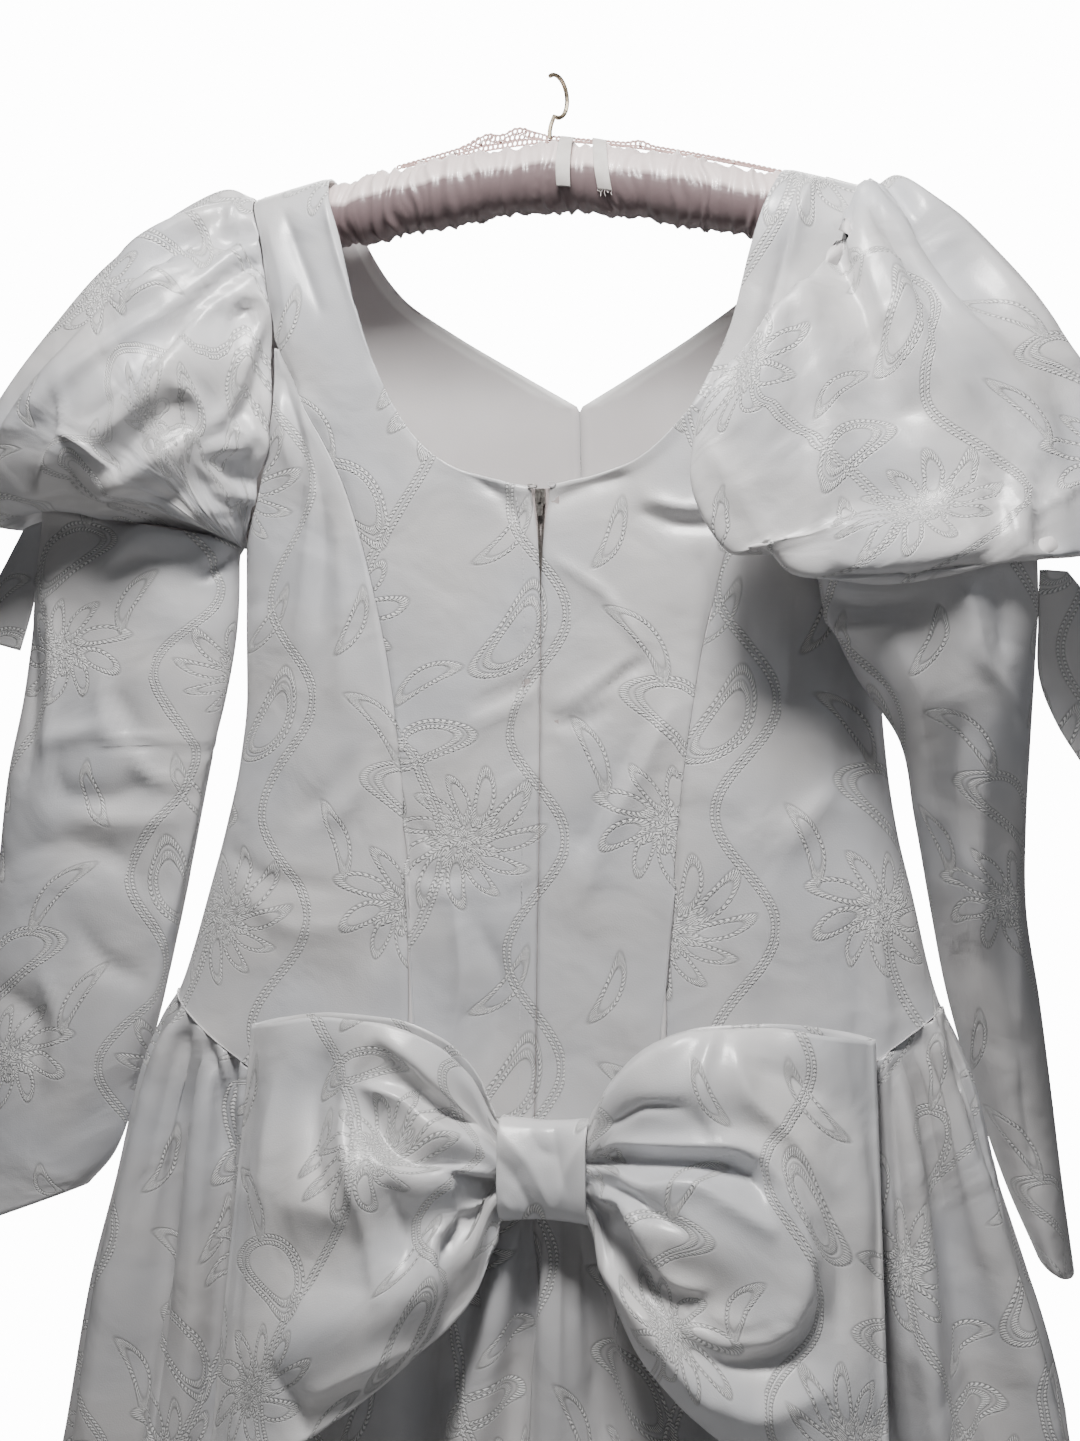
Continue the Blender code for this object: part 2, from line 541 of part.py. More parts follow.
# ---- cloth from rings or sections ---------------------------------------------------------------
def walled(points, tube, sign):
    """Outer and inner points of a wall of even thickness, from its outer points by row and column."""
    rows, columns = len(points) - 1, len(points[0])

    def place(column, row):
        point = points[row][column]
        faces = []
        for rise in (-1, 1):
            for step in (-1, 1):
                beside = (column + step) % columns if tube else column + step
                if 0 <= row + rise <= rows and 0 <= beside < columns:
                    down, along = points[row + rise][column] - point, points[row][beside] - point
                    faces.append((sign * rise * step * down.cross(along)).normalized())
        normal = sum(faces, Vector()).normalized()
        leaning = max(min(normal.dot(face) for face in faces), MITRE)
        return point, point - WALL / leaning * normal

    return place


def tube_of_rings(name, rings, sign):
    """A cloth tube through rings of outer points."""
    return cloth(name, len(rings[0]), len(rings) - 1, walled(rings, True, sign), tube=True)


def armhole(side, count):
    """Points round the armhole from the shoulder, down the back and up the front, clear of the bodice."""
    drops = [drop for _, drop in CENTRE_BACK_ROWS if drop < SIDE_ROWS[0][1]] + [row[0] for row in ARMHOLE[6:]]
    top = Vector((side * (SHOULDER_TIP + 2 * SEAM), 0, 3 * SEAM - shoulder(SHOULDER_TIP)))
    runs = {}
    for back in (True, False):
        runs[back] = [top]
        for drop in drops[1:]:
            angle = angle_at(side * ARMHOLE_X[back](drop), drop, back)
            normal = outward(body_point, angle, max(drop, SHOULDER_ROW))
            runs[back].append(body_point(angle, drop) + 3 * SEAM * normal + Vector((2 * SEAM * side, 0, 0)))
    points = []
    for k in range(count):
        turn = 2 * math.pi * k / count
        run = runs[math.sin(turn) > -1e-6]
        height = mix(run[-1].z, top.z, (1 + math.cos(turn)) / 2)
        i = max(j for j, point in enumerate(run[:-1]) if point.z >= height - 1e-9)
        points.append(run[i].lerp(run[i + 1], (run[i].z - height) / (run[i].z - run[i + 1].z)))
    return points


def under_arm(k, count, turned):
    """The turn of a ring's point: 0 at the shoulder, half a circle under the arm, more where it is turned."""
    turn = 2 * math.pi * k / count
    return turn + turned * (1 - math.cos(turn)) / 2


def lower_ring(side, row, count, lift=0.0, turned=0.0):
    """A ring of the fitted sleeve."""
    out_x, out_drop, in_x, in_drop, y, half = row
    outer, inner = Vector((out_x, y, -out_drop)), Vector((in_x, y, -in_drop))
    middle, reach = (outer + inner) / 2, (outer - inner) / 2
    up = Vector((0, 1, 0)).cross(reach).normalized() * -lift
    ring = []
    for k in range(count):
        turn = under_arm(k, count, turned)
        point = middle + reach * math.cos(turn) + Vector((0, half * math.sin(turn), 0)) + up
        ring.append(Vector((side * point.x, point.y, point.z)))
    return ring


def puff_ring(side, row, depth, count):
    """A ring of the puffed sleeve, with its gathers."""
    out_x, out_drop, in_x, in_drop, back_x, back_out, back_drop, front, y, turned = row
    outer, inner = Vector((out_x, y, -out_drop)), Vector((in_x, y, -in_drop))
    middle, reach = (outer + inner) / 2, (outer - inner) / 2
    behind = Vector((back_x, back_out, -back_drop)) - middle
    ahead = Vector((0, -front, 0))
    ring = []
    for k in range(count):
        turn = under_arm(k, count, turned)
        toward, share = (behind if math.sin(turn) > 0 else ahead), abs(math.sin(turn))
        bulge = Vector((toward.x * share**2, toward.y * share, toward.z * share**2))
        point = middle + reach * math.cos(turn) + bulge
        line = 2 * math.pi * k / count
        fade = abs(math.cos(line / 2)) ** (GATHER_FADE_BACK if line < math.pi else GATHER_FADE_FRONT)
        wave = math.sin(PUFF_GATHERS * line + GATHER_UNEVEN * math.sin(2 * line) + GATHER_START)
        point += depth * fade * wave * (point - middle).normalized()
        ring.append(settled(Vector((side * point.x, point.y, point.z))))
    return ring


def make_sleeves():
    sides = ((1, "left", PUFF_LEFT, LOWER_LEFT), (-1, "right", PUFF_RIGHT, LOWER_RIGHT))
    for side, word, puff, lower in sides:
        rings = [[settled(point) for point in armhole(side, PUFF_AROUND)]]
        rings += [puff_ring(side, row, depth, PUFF_AROUND) for row, depth in zip(puff, GATHER_DEPTH)]
        rings.append(lower_ring(side, lower[0], PUFF_AROUND, lift=SEWN, turned=puff[-1][-1]))
        tube_of_rings(f"sleeve_puff_{word}", rings, side)
        tube_of_rings(f"sleeve_lower_{word}", [lower_ring(side, row, LOWER_AROUND) for row in lower], side)


def make_sleeve_tails():
    sides = ((1, "left", TAIL_LEFT, LOWER_LEFT), (-1, "right", TAIL_RIGHT, LOWER_RIGHT))
    for side, word, tail, lower in sides:
        keyed = [(row[1], row[0], row[4]) for row in lower]
        sleeve_x, sleeve_y = curve(keyed, 1), curve(keyed, 2)
        points = []
        for fall, inner, outer, out_y, extra in tail:
            drop = lower[0][1] + fall
            start = Vector((sleeve_x(drop) + inner, sleeve_y(drop), -drop))
            end = Vector((sleeve_x(drop) + outer, sleeve_y(drop) + out_y, -drop - extra))
            line = []
            for k in range(TAIL_ACROSS + 1):
                share = k / TAIL_ACROSS
                point = start.lerp(end, share)
                varied = 1 + TAIL_VARIES * math.sin(TAIL_RIPPLE * drop)
                point.y += TAIL_WAVE * math.sin(math.pi * share) * varied
                line.append(Vector((side * point.x, point.y, point.z)))
            points.append(line)
        cloth(f"sleeve_tail_{word}", TAIL_ACROSS, len(tail) - 1, walled(points, False, -side))


# ---- skirt --------------------------------------------------------------------------------------
def quarter_angles():
    """Angles from a side seam to a middle seam, as a function of the share of the hem between them."""
    turns = [math.pi / 2 * i / ARC_STEPS for i in range(ARC_STEPS + 1)]
    spots = [body_point(turn, HEM_DROP) for turn in turns]
    lengths = [0.0]
    for a, b in zip(spots, spots[1:]):
        lengths.append(lengths[-1] + (b - a).length)
    table = [(length / lengths[-1], turn) for length, turn in zip(lengths, turns)]
    return curve(table, 1)


QUARTER = quarter_angles()
FOLD_AT, GATHER_AT = curve(SKIRT_ROWS, 1), curve(SKIRT_ROWS, 2)


def skirt_smooth(around, down):
    """The skirt without its folds: around is the share of the way round, down the share to the hem."""
    quarter, rest = divmod(around % 1.0 * 4, 1.0)
    quarter = int(quarter)
    turn = QUARTER(rest) if quarter % 2 == 0 else math.pi / 2 - QUARTER(1 - rest)
    angle = quarter * math.pi / 2 + turn
    return body_point(angle, mix(waist_edge(angle) + WAIST_GAP, HEM_DROP, down))


def summed(waves, turn):
    """The sum of a table's waves at a turn."""
    return sum(size * math.sin(times * turn + start) for size, times, start in waves)


def skirt_point(around, down):
    """The skirt's outside with its folds and gathers, which run straight down and are uneven."""
    turn = 2 * math.pi * around
    normal = outward(skirt_smooth, around, min(max(down, NEAR_END), 1 - NEAR_END))
    normal = Vector((normal.x, normal.y, 0)).normalized()
    phase = SKIRT_FOLDS * turn + summed(FOLD_SPACING, turn)
    uneven = FOLD_EVEN + summed(FOLD_DEPTHS, turn)
    wave = uneven * (math.sin(phase) + FOLD_LEAN * math.sin(2 * phase + FOLD_LEAN_START))
    small = math.sin(SKIRT_GATHERS * turn + GATHER_SPACING * math.sin(4 * turn))
    fold = FOLD_AT(down) * (0.5 * wave - 0.5 + FOLD_OUTWARD) + 0.5 * GATHER_AT(down) * small
    return skirt_smooth(around, down) + normal * fold


def make_skirt():
    quarter = SKIRT_QUARTER
    for name, first, count in (
        ("skirt_back_left", 0, quarter),
        ("skirt_back_right", quarter, quarter),
        ("skirt_front", 2 * quarter, 2 * quarter),
    ):

        def place(column, row, first=first, count=count):
            around = (first + column) / (4 * quarter)
            around += PANEL_PART if column == 0 else -PANEL_PART if column == count else 0
            down = SKIRT_ROWS[row][0]
            point = skirt_point(around, down)
            normal = outward(skirt_point, around, min(max(down, NEAR_END), 1 - NEAR_END), step=SKIRT_STEP)
            normal = Vector((normal.x, normal.y, 0)).normalized()
            return point, point - WALL * normal

        cloth(name, count, len(SKIRT_ROWS) - 1, place)


# ---- bow at the back ----------------------------------------------------------------------------
KNOT_Y = back_y(BOW_X, BOW_DROP + KNOT_HEIGHT / 2) - KNOT_SEAT + KNOT_DEPTH / 2


def make_bow():
    for side, word in ((1, "left"), (-1, "right")):
        columns = [(row, 1) for row in BOW_LOOP] + [(row, -1) for row in BOW_LOOP[::-1]]
        points = []
        for v in range(BOW_TALL):
            share = v / (BOW_TALL - 1)
            line = []
            for (reach, top, bottom, half, fold), layer in columns:
                x = BOW_X + side * (reach + BOW_FLARE * share * (reach / BOW_LOOP[-1][0]) ** 2)
                z = -BOW_DROP + mix(top, bottom, share)
                down = max(-z - WAIST_SIDE, 0) / (HEM_DROP - WAIST_SIDE)
                clear = back_y(x, -z) + FOLD_OUTWARD * FOLD_AT(min(down, 1)) + BOW_CLEAR + half
                y = mix(KNOT_Y, clear, eased(*KNOT_BLEND, reach))
                belly = mix(mix(BOW_BELLY, 1, math.sin(math.pi * share)), 1, eased(*BOW_FLAT, reach))
                phase = 2 * math.pi * (BOW_RIDGES * share + BOW_APART * side) + BOW_SLANT * reach
                y += layer * half * belly
                y += fold * math.sin(phase) * (FRONT_FOLD if layer > 0 else REAR_FOLD)
                line.append(Vector((x, y, z)))
            points.append(line)
        cloth(f"bow_loop_{word}", len(columns) - 1, BOW_TALL - 1, walled(points, False, -side))
    rings = []
    for share, drawn_in in KNOT_RINGS:
        x = BOW_X + (share - 0.5) * KNOT_WIDTH
        ring = []
        for k in range(KNOT_AROUND):
            turn = 2 * math.pi * k / KNOT_AROUND
            deep = power(math.sin(turn), KNOT_SQUARE) * (drawn_in if math.sin(turn) > 0 else 1)
            y = KNOT_Y + KNOT_DEPTH / 2 * deep
            z = -BOW_DROP + KNOT_HEIGHT / 2 * power(math.cos(turn), KNOT_SQUARE) * drawn_in
            ring.append(Vector((x, y, z)))
        rings.append(ring)
    tube_of_rings("bow_knot", rings, 1)


# ---- hanger -------------------------------------------------------------------------------------
def pad_point(x, turn, clear=0.0):
    """The padded hanger's surface: turn 0 faces backwards, 90 degrees is its top."""
    size = max(max(1 - abs(x / PAD_HALF) ** PAD_END, 0.0) ** 0.5, PAD_LEAST)
    tall, deep = PAD_HEIGHT / 2 * size, PAD_DEPTH / 2 * size
    middle = -pad_top(x) - tall
    return Vector((x, (deep + clear) * math.cos(turn), middle + (tall + clear) * math.sin(turn)))


def make_hanger():
    bm = bmesh.new()
    bmesh.ops.create_grid(bm, x_segments=PAD_AROUND, y_segments=PAD_ALONG, size=0.5)
    for vert in bm.verts:
        turn = 2 * math.pi * (round((vert.co.x + 0.5) * PAD_AROUND) % PAD_AROUND) / PAD_AROUND
        x = -PAD_HALF * math.sin(math.pi * vert.co.y)
        vert.co = settled(pad_point(x, turn))
    bmesh.ops.remove_doubles(bm, verts=bm.verts, dist=1e-7)
    bmesh.ops.holes_fill(bm, edges=bm.edges, sides=0)
    finish("hanger_pad", bm, ((0.72, 0.60, 0.61), 0.35))

    low = settled(Vector((*HOOK_STEM, SEWN - pad_top(HOOK_STEM[0]))))
    swivel = Vector((-math.cos(HOOK_TURN), -math.sin(HOOK_TURN), 0))
    bend = Vector((0, 0, WIRE - HOOK_BEND))
    points = [low + Vector(step) for step in STEM_STEPS]
    for degrees in range(*BEND_DEGREES):
        turn = math.radians(degrees)
        points.append(bend + HOOK_BEND * (swivel * math.cos(turn) + Vector((0, 0, math.sin(turn)))))
    wire = bpy.data.curves.new("hanger_hook", "CURVE")
    wire.dimensions = "3D"
    wire.bevel_depth = WIRE
    wire.bevel_resolution = 1
    wire.use_fill_caps = True
    spline = wire.splines.new("POLY")
    spline.points.add(len(points) - 1)
    for spot, point in zip(spline.points, points):
        spot.co = (*point, 1)
    wire.materials.append(material("hanger_hook", (0.52, 0.45, 0.33), 0.3, 1.0))
    bpy.context.scene.collection.objects.link(bpy.data.objects.new("hanger_hook", wire))

    height = curve(LACE, 1)

    def lace(column, row):
        x = mix(LACE[-1][0], LACE[0][0], column / LACE_ALONG)
        z = -LACE_SEAT - pad_top(x) + (height(x) if row == 0 else 0.0)
        point = settled(Vector((x, LACE_Y, z)))
        return point, point - Vector((0, LACE_WALL, 0))

    cloth("hanger_lace", LACE_ALONG, 1, lace, finishes=((0.85, 0.76, 0.74), 0.8))

    for number, (top_x, end_x) in enumerate(RIBBONS, 1):

        def ribbon(column, row, top_x=top_x, end_x=end_x):
            share = row / RIBBON_ROWS
            x = mix(top_x, end_x, share) + RIBBON_HALF * (1 - 2 * column)
            turn = math.radians(mix(*RIBBON_TURNS, share))
            skins = [pad_point(x, turn, clear) for clear in (RIBBON_CLEAR + RIBBON_WALL, RIBBON_CLEAR)]
            return tuple(settled(skin) for skin in skins)

        cloth(f"hanger_ribbon_{number}", 1, RIBBON_ROWS, ribbon, finishes=((0.86, 0.82, 0.78), 0.5))


# ---- zip ----------------------------------------------------------------------------------------
def make_zip():
    drops = [ZIP_TOP, 0.3150, 0.3500, 0.3800, 0.4500, 0.5400, 0.6350, ZIP_BOTTOM]

    def tape(column, row):
        x = ZIP_TAPE_HALF * (1 - column / 2)
        angle = angle_at(x if x else 1e-6, drops[row], True)
        point, normal = body_point(angle, drops[row]), outward(body_point, angle, drops[row])
        outer = point - normal * (WALL + 2 * SEAM)
        return settled(outer), settled(outer - normal * ZIP_TAPE_WALL)

    cloth("zip_tape", 4, len(drops) - 1, tape, finishes=((0.55, 0.50, 0.48), 0.7))

    steel = ((0.42, 0.40, 0.36), 0.35, 1.0)
    tape_y = min(back_y(SEAM, drop) for drop in (ZIP_TOP, SLIDER_REACH)) - WALL - 2 * SEAM
    top = tape_y + SLIDER_LIFT + SLIDER_THICK
    bm = bmesh.new()
    size = (2 * SLIDER_HALF, SLIDER_THICK, SLIDER_LONG)
    place = Matrix.Translation((0, top - SLIDER_THICK / 2, -PULL_DROP)) @ Matrix.Diagonal((*size, 1))
    bmesh.ops.create_cube(bm, size=1, matrix=place)
    corners = [e for e in bm.edges if abs(e.verts[0].co.y - e.verts[1].co.y) > SLIDER_THICK / 2]
    bevel = {"affect": "EDGES", "segments": 2, "profile": 0.5, "material": -1}
    bmesh.ops.bevel(bm, geom=corners, offset=SLIDER_CORNER, **bevel)
    slider = finish("zip_slider", bm, steel)

    bm = bmesh.new()
    tunnel = PULL_THICK + 2 * PULL_CLEAR
    bmesh.ops.create_grid(bm, x_segments=3, y_segments=2, size=0.5)
    lines_z = (-BRIDGE_REACH, BRIDGE_WALL - BRIDGE_REACH, BRIDGE_REACH - BRIDGE_WALL, BRIDGE_REACH)
    lines_y = (-PULL_CLEAR, tunnel, tunnel + BRIDGE_WALL)
    for vert in bm.verts:
        z = lines_z[round((vert.co.x + 0.5) * 3)]
        y = lines_y[round((vert.co.y + 0.5) * 2)]
        vert.co = Vector((-BRIDGE_HALF, top + y, z - PULL_DROP))
    spots = {face: face.calc_center_median() for face in bm.faces}
    gap = min(spots, key=lambda face: abs(spots[face].z + PULL_DROP) + spots[face].y)
    bmesh.ops.delete(bm, geom=[gap], context="FACES")
    grown = bmesh.ops.extrude_face_region(bm, geom=list(bm.faces), use_keep_orig=True)
    moved = [item for item in grown["geom"] if isinstance(item, bmesh.types.BMVert)]
    bmesh.ops.translate(bm, vec=(2 * BRIDGE_HALF, 0, 0), verts=moved)
    bridge = finish("zip_bridge", bm, steel)
    bridge.hide_render = True
    bridge.display_type = "WIRE"
    joined = slider.modifiers.new("bridge", "BOOLEAN")
    joined.operation = "UNION"
    joined.solver = "EXACT"
    joined.object = bridge

    hinge = Vector((0, top + PULL_CLEAR + PULL_THICK / 2, -PULL_DROP))
    bm = bmesh.new()
    bmesh.ops.create_grid(bm, x_segments=3, y_segments=3, size=0.5)
    lines_x = (-PULL_HALF, -EYE_HALF, EYE_HALF, PULL_HALF)
    lines_z = (-PULL_LONG, -EYE_LONG, -PULL_THICK / 2, PULL_THICK / 2)
    for vert in bm.verts:
        x = lines_x[round((vert.co.x + 0.5) * 3)]
        z = lines_z[round((vert.co.y + 0.5) * 3)]
        x *= PULL_TAPER if z == -PULL_LONG else 1
        vert.co = Vector((x, -PULL_THICK / 2, z))
    spots = {face: face.calc_center_median() for face in bm.faces}
    eye = min(spots, key=lambda face: abs(spots[face].x) + abs(spots[face].z + EYE_LONG / 2))
    bmesh.ops.delete(bm, geom=[eye], context="FACES")
    grown = bmesh.ops.extrude_face_region(bm, geom=list(bm.faces), use_keep_orig=True)
    moved = [item for item in grown["geom"] if isinstance(item, bmesh.types.BMVert)]
    bmesh.ops.translate(bm, vec=(0, PULL_THICK, 0), verts=moved)
    pull = finish("zip_pull", bm, steel)
    pull.location = hinge


make_hanger()
make_bodice()
make_zip()
make_sleeves()
make_sleeve_tails()
make_skirt()
make_bow()
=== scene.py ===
"""Wedding gown of white satin jacquard on a padded satin hanger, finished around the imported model.

Metres, +Z up. The back of the gown faces +Y and the wearer's left is +X. The hanger's hook is at the origin.
"""

import math

import bmesh
import bpy
import numpy as np
from mathutils import Matrix, Vector


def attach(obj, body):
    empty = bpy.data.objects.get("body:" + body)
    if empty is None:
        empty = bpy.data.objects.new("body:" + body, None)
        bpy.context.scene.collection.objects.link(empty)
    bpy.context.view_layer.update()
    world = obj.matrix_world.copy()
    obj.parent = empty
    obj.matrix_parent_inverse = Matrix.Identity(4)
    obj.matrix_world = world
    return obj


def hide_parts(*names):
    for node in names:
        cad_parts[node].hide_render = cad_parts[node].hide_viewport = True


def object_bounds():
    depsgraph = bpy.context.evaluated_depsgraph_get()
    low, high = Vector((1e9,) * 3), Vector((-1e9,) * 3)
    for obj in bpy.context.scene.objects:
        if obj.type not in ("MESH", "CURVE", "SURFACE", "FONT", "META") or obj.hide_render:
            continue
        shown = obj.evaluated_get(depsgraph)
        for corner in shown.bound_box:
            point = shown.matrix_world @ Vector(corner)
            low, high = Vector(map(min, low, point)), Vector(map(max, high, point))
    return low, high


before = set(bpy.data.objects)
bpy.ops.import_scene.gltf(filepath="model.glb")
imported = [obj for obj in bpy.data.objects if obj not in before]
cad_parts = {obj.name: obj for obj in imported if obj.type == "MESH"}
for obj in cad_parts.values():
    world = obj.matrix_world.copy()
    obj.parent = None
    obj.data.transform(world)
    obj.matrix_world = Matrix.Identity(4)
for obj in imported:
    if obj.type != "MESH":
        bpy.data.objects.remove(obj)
cad_box = [list(corner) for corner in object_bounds()]

# ---- studio --------------------------------------------------------------------------------------
# A pale floor under the hem, a small soft lamp above and in front of the gown's back, a weak one to the
# viewer's right and a wide one beyond the gown, which lights its edges. The camera stands level with the
# bodice, a little to the side.
CAMERA_TURN, CAMERA_AWAY, CAMERA_HEIGHT, CAMERA_AIM = math.radians(12), 1.5, -0.428, 0.011
FRAME_TALL, FOCUS, SENSOR = 1441, 2250, 36.0
FLOOR_SIZE, FLOOR_BELOW, FLOOR_TONE, FLOOR_ROUGH = 14.0, 0.001, 0.55, 0.9
SEEN_WHITE, ROOM_TONE, ROOM_GLOW = 14.0, (0.95, 0.96, 1.0, 1), 0.055
# Columns: name, place, aimed at, size, watts, colour.
LAMPS = [
    ("key_lamp", (-0.05, 0.66, 0.53), (0.0, 0.0, -0.35), 0.28, 23.0, (1.0, 0.985, 0.97)),
    ("fill_lamp", (-1.6, 1.2, 0.00), (0.0, 0.0, -0.6), 0.9, 2.2, (0.92, 0.95, 1.0)),
    ("rim_lamp", (0.5, -2.2, 0.8), (0.0, 0.0, -0.7), 1.8, 70.0, (1.0, 0.99, 0.98)),
]


def in_scene(name, data):
    """A new object in the scene, at the origin."""
    made = bpy.data.objects.new(name, data)
    bpy.context.scene.collection.objects.link(made)
    return made


def mesh_of(bm, name):
    """The mesh that a bmesh ends as."""
    mesh = bpy.data.meshes.new(name)
    bm.to_mesh(mesh)
    bm.free()
    return mesh


def aimed(place, target):
    """The turn that makes a lamp or camera at a place look at a target."""
    return (Vector(target) - Vector(place)).to_track_quat("-Z", "Y").to_euler()


def make_lamps_and_camera():
    camera = in_scene("camera", bpy.data.cameras.new("camera"))
    side, ahead = math.sin(CAMERA_TURN), math.cos(CAMERA_TURN)
    camera.location = (CAMERA_AIM - CAMERA_AWAY * side, CAMERA_AWAY * ahead, CAMERA_HEIGHT)
    camera.rotation_euler = aimed(camera.location, (CAMERA_AIM, 0, CAMERA_HEIGHT))
    camera.data.sensor_fit = "VERTICAL"
    camera.data.sensor_height = SENSOR
    camera.data.lens = FOCUS / FRAME_TALL * SENSOR
    bpy.context.scene.camera = camera
    for name, place, target, size, watts, colour in LAMPS:
        lamp = bpy.data.lights.new(name, "AREA")
        lamp.size, lamp.energy, lamp.color = size, watts, colour
        holder = in_scene(name, lamp)
        holder.location, holder.rotation_euler = place, aimed(place, target)


def white_to_the_eye(tree, lighting, seen, output):
    """A surface is white where the camera looks at it, and lights the cloth by its own tone."""
    pick, path = tree.nodes.new("ShaderNodeMixShader"), tree.nodes.new("ShaderNodeLightPath")
    tree.links.new(path.outputs["Is Camera Ray"], pick.inputs["Fac"])
    tree.links.new(lighting.outputs[0], pick.inputs[1])
    tree.links.new(seen.outputs[0], pick.inputs[2])
    tree.links.new(pick.outputs["Shader"], tree.nodes[output].inputs["Surface"])


def make_floor():
    bm = bmesh.new()
    level = Matrix.Translation((0, 0, cad_box[0][2] - FLOOR_BELOW))
    bmesh.ops.create_grid(bm, x_segments=1, y_segments=1, size=FLOOR_SIZE / 2, matrix=level)
    mesh = mesh_of(bm, "floor")
    paint = bpy.data.materials.new("floor_paint")
    paint.use_nodes = True
    shader = paint.node_tree.nodes["Principled BSDF"]
    shader.inputs["Base Color"].default_value = (FLOOR_TONE, FLOOR_TONE, FLOOR_TONE, 1)
    shader.inputs["Roughness"].default_value = FLOOR_ROUGH
    seen = paint.node_tree.nodes.new("ShaderNodeEmission")
    seen.inputs["Strength"].default_value = SEEN_WHITE
    white_to_the_eye(paint.node_tree, shader, seen, "Material Output")
    mesh.materials.append(paint)
    in_scene("floor", mesh)


def make_surroundings():
    world = bpy.data.worlds.new("studio")
    world.use_nodes = True
    room, seen = world.node_tree.nodes["Background"], world.node_tree.nodes.new("ShaderNodeBackground")
    for shader, colour, strength in ((seen, (1, 1, 1, 1), SEEN_WHITE), (room, ROOM_TONE, ROOM_GLOW)):
        shader.inputs["Color"].default_value = colour
        shader.inputs["Strength"].default_value = strength
    white_to_the_eye(world.node_tree, room, seen, "World Output")
    bpy.context.scene.world = world


make_lamps_and_camera()
make_floor()
make_surroundings()

# ---- the cut of the gown -------------------------------------------------------------------------
# The bodice and the skirt follow one body form, a stack of rounded rings, and every panel is cut
# from it between two seams. "Drop" is the distance below the hook's bend.
# How square the rings are. The slope of the hanger, and the drops between which the gown loses it.
ROUND, HANG_TILT, TILT_FULL, TILT_NONE = 2.4, 0.030, 0.10, 0.30
# The shoulder line: its drop in the middle, its fall as far as the neck's side, its curve, and that side.
SHOULDER_TOP, SHOULDER_FALL, SHOULDER_CURVE, NECK_HALF = 0.0412, 0.0255, 1.45, 0.154
# The shoulder's tip, how deep it is rounded, and the drop above which a panel starts on its seam.
SHOULDER_TIP, SHOULDER_ROUND, SHOULDER_ROW = 0.2085, 0.040, 0.090
# The waist's drop at the sides and at its points, the curve between them, and the hem's drop.
WAIST_SIDE, WAIST_POINT, WAIST_CURVE, HEM_DROP = 0.612, 0.722, 1.4, 1.540
# How steeply a panel's rows lean to the waist, and how often a seam's meeting with it is worked out.
WAIST_LEAN, WAIST_TRIES = 6, 12
# The cloth's thickness, the gap at a seam, and a distance past any side seam.
CLOTH_WALL, SEAM, BEYOND = 0.0014, 0.0003, 1.0
# Columns: drop, half width on the left, on the right, depth behind, depth in front.
FORM = [
    (0.040, 0.264, 0.264, 0.044, 0.044),
    (0.120, 0.250, 0.250, 0.047, 0.055),
    (0.200, 0.236, 0.236, 0.050, 0.082),
    (0.308, 0.2150, 0.2150, 0.051, 0.092),
    (0.360, 0.2150, 0.2150, 0.051, 0.086),
    (0.410, 0.2145, 0.2145, 0.052, 0.076),
    (0.457, 0.2195, 0.2180, 0.054, 0.070),
    (0.500, 0.2290, 0.2245, 0.056, 0.071),
    (0.540, 0.2400, 0.2340, 0.059, 0.073),
    (0.600, 0.2580, 0.2480, 0.063, 0.077),
    (0.663, 0.2850, 0.2740, 0.068, 0.084),
    (0.740, 0.3030, 0.2930, 0.078, 0.095),
    (0.817, 0.3230, 0.3150, 0.090, 0.106),
    (0.930, 0.3420, 0.3420, 0.105, 0.122),
    (1.200, 0.4020, 0.4020, 0.150, 0.165),
    (1.560, 0.4740, 0.4740, 0.206, 0.216),
]
# Columns of the edges below: drop, distance from the middle, and in front where that differs.
BACK_NECK = [(0.0643, 0.1540), (0.0800, 0.1485), (0.1050, 0.1395), (0.1400, 0.1300), (0.1705, 0.1225)]
BACK_NECK += [(0.2080, 0.1072), (0.2379, 0.0890), (0.2615, 0.0627), (0.2725, 0.0340), (0.2770, 0.0065)]
FRONT_NECK = [(0.0643, 0.1540), (0.0850, 0.1500), (0.1080, 0.1400), (0.1360, 0.1200), (0.1580, 0.0880)]
FRONT_NECK += [(0.1830, 0.0450), (0.2088, 0.0000)]
ZIP_EDGE = [(0.2770, 0.0065), (0.3150, 0.0016), (0.3500, 0.0002), (0.7300, 0.0002)]
ARMHOLE = [
    (0.0776, 0.2085, 0.2085),
    (0.0815, 0.2070, 0.2066),
    (0.0925, 0.2025, 0.2010),
    (0.1125, 0.1955, 0.1925),
    (0.1470, 0.1905, 0.1840),
    (0.1770, 0.1850, 0.1780),
    (0.2149, 0.1860, 0.1790),
    (0.2450, 0.1915, 0.1860),
    (0.2759, 0.2000, 0.1965),
    (0.2960, 0.2085, 0.2068),
    (0.3080, 0.2150, 0.2150),
]
PRINCESS = [
    (0.1770, 0.1850, 0.1780),
    (0.2149, 0.1663, 0.1500),
    (0.2759, 0.1336, 0.1230),
    (0.3470, 0.1125, 0.1080),
    (0.4100, 0.1000, 0.0950),
    (0.4976, 0.0895, 0.0840),
    (0.5416, 0.0865, 0.0810),
    (0.6290, 0.0795, 0.0760),
]
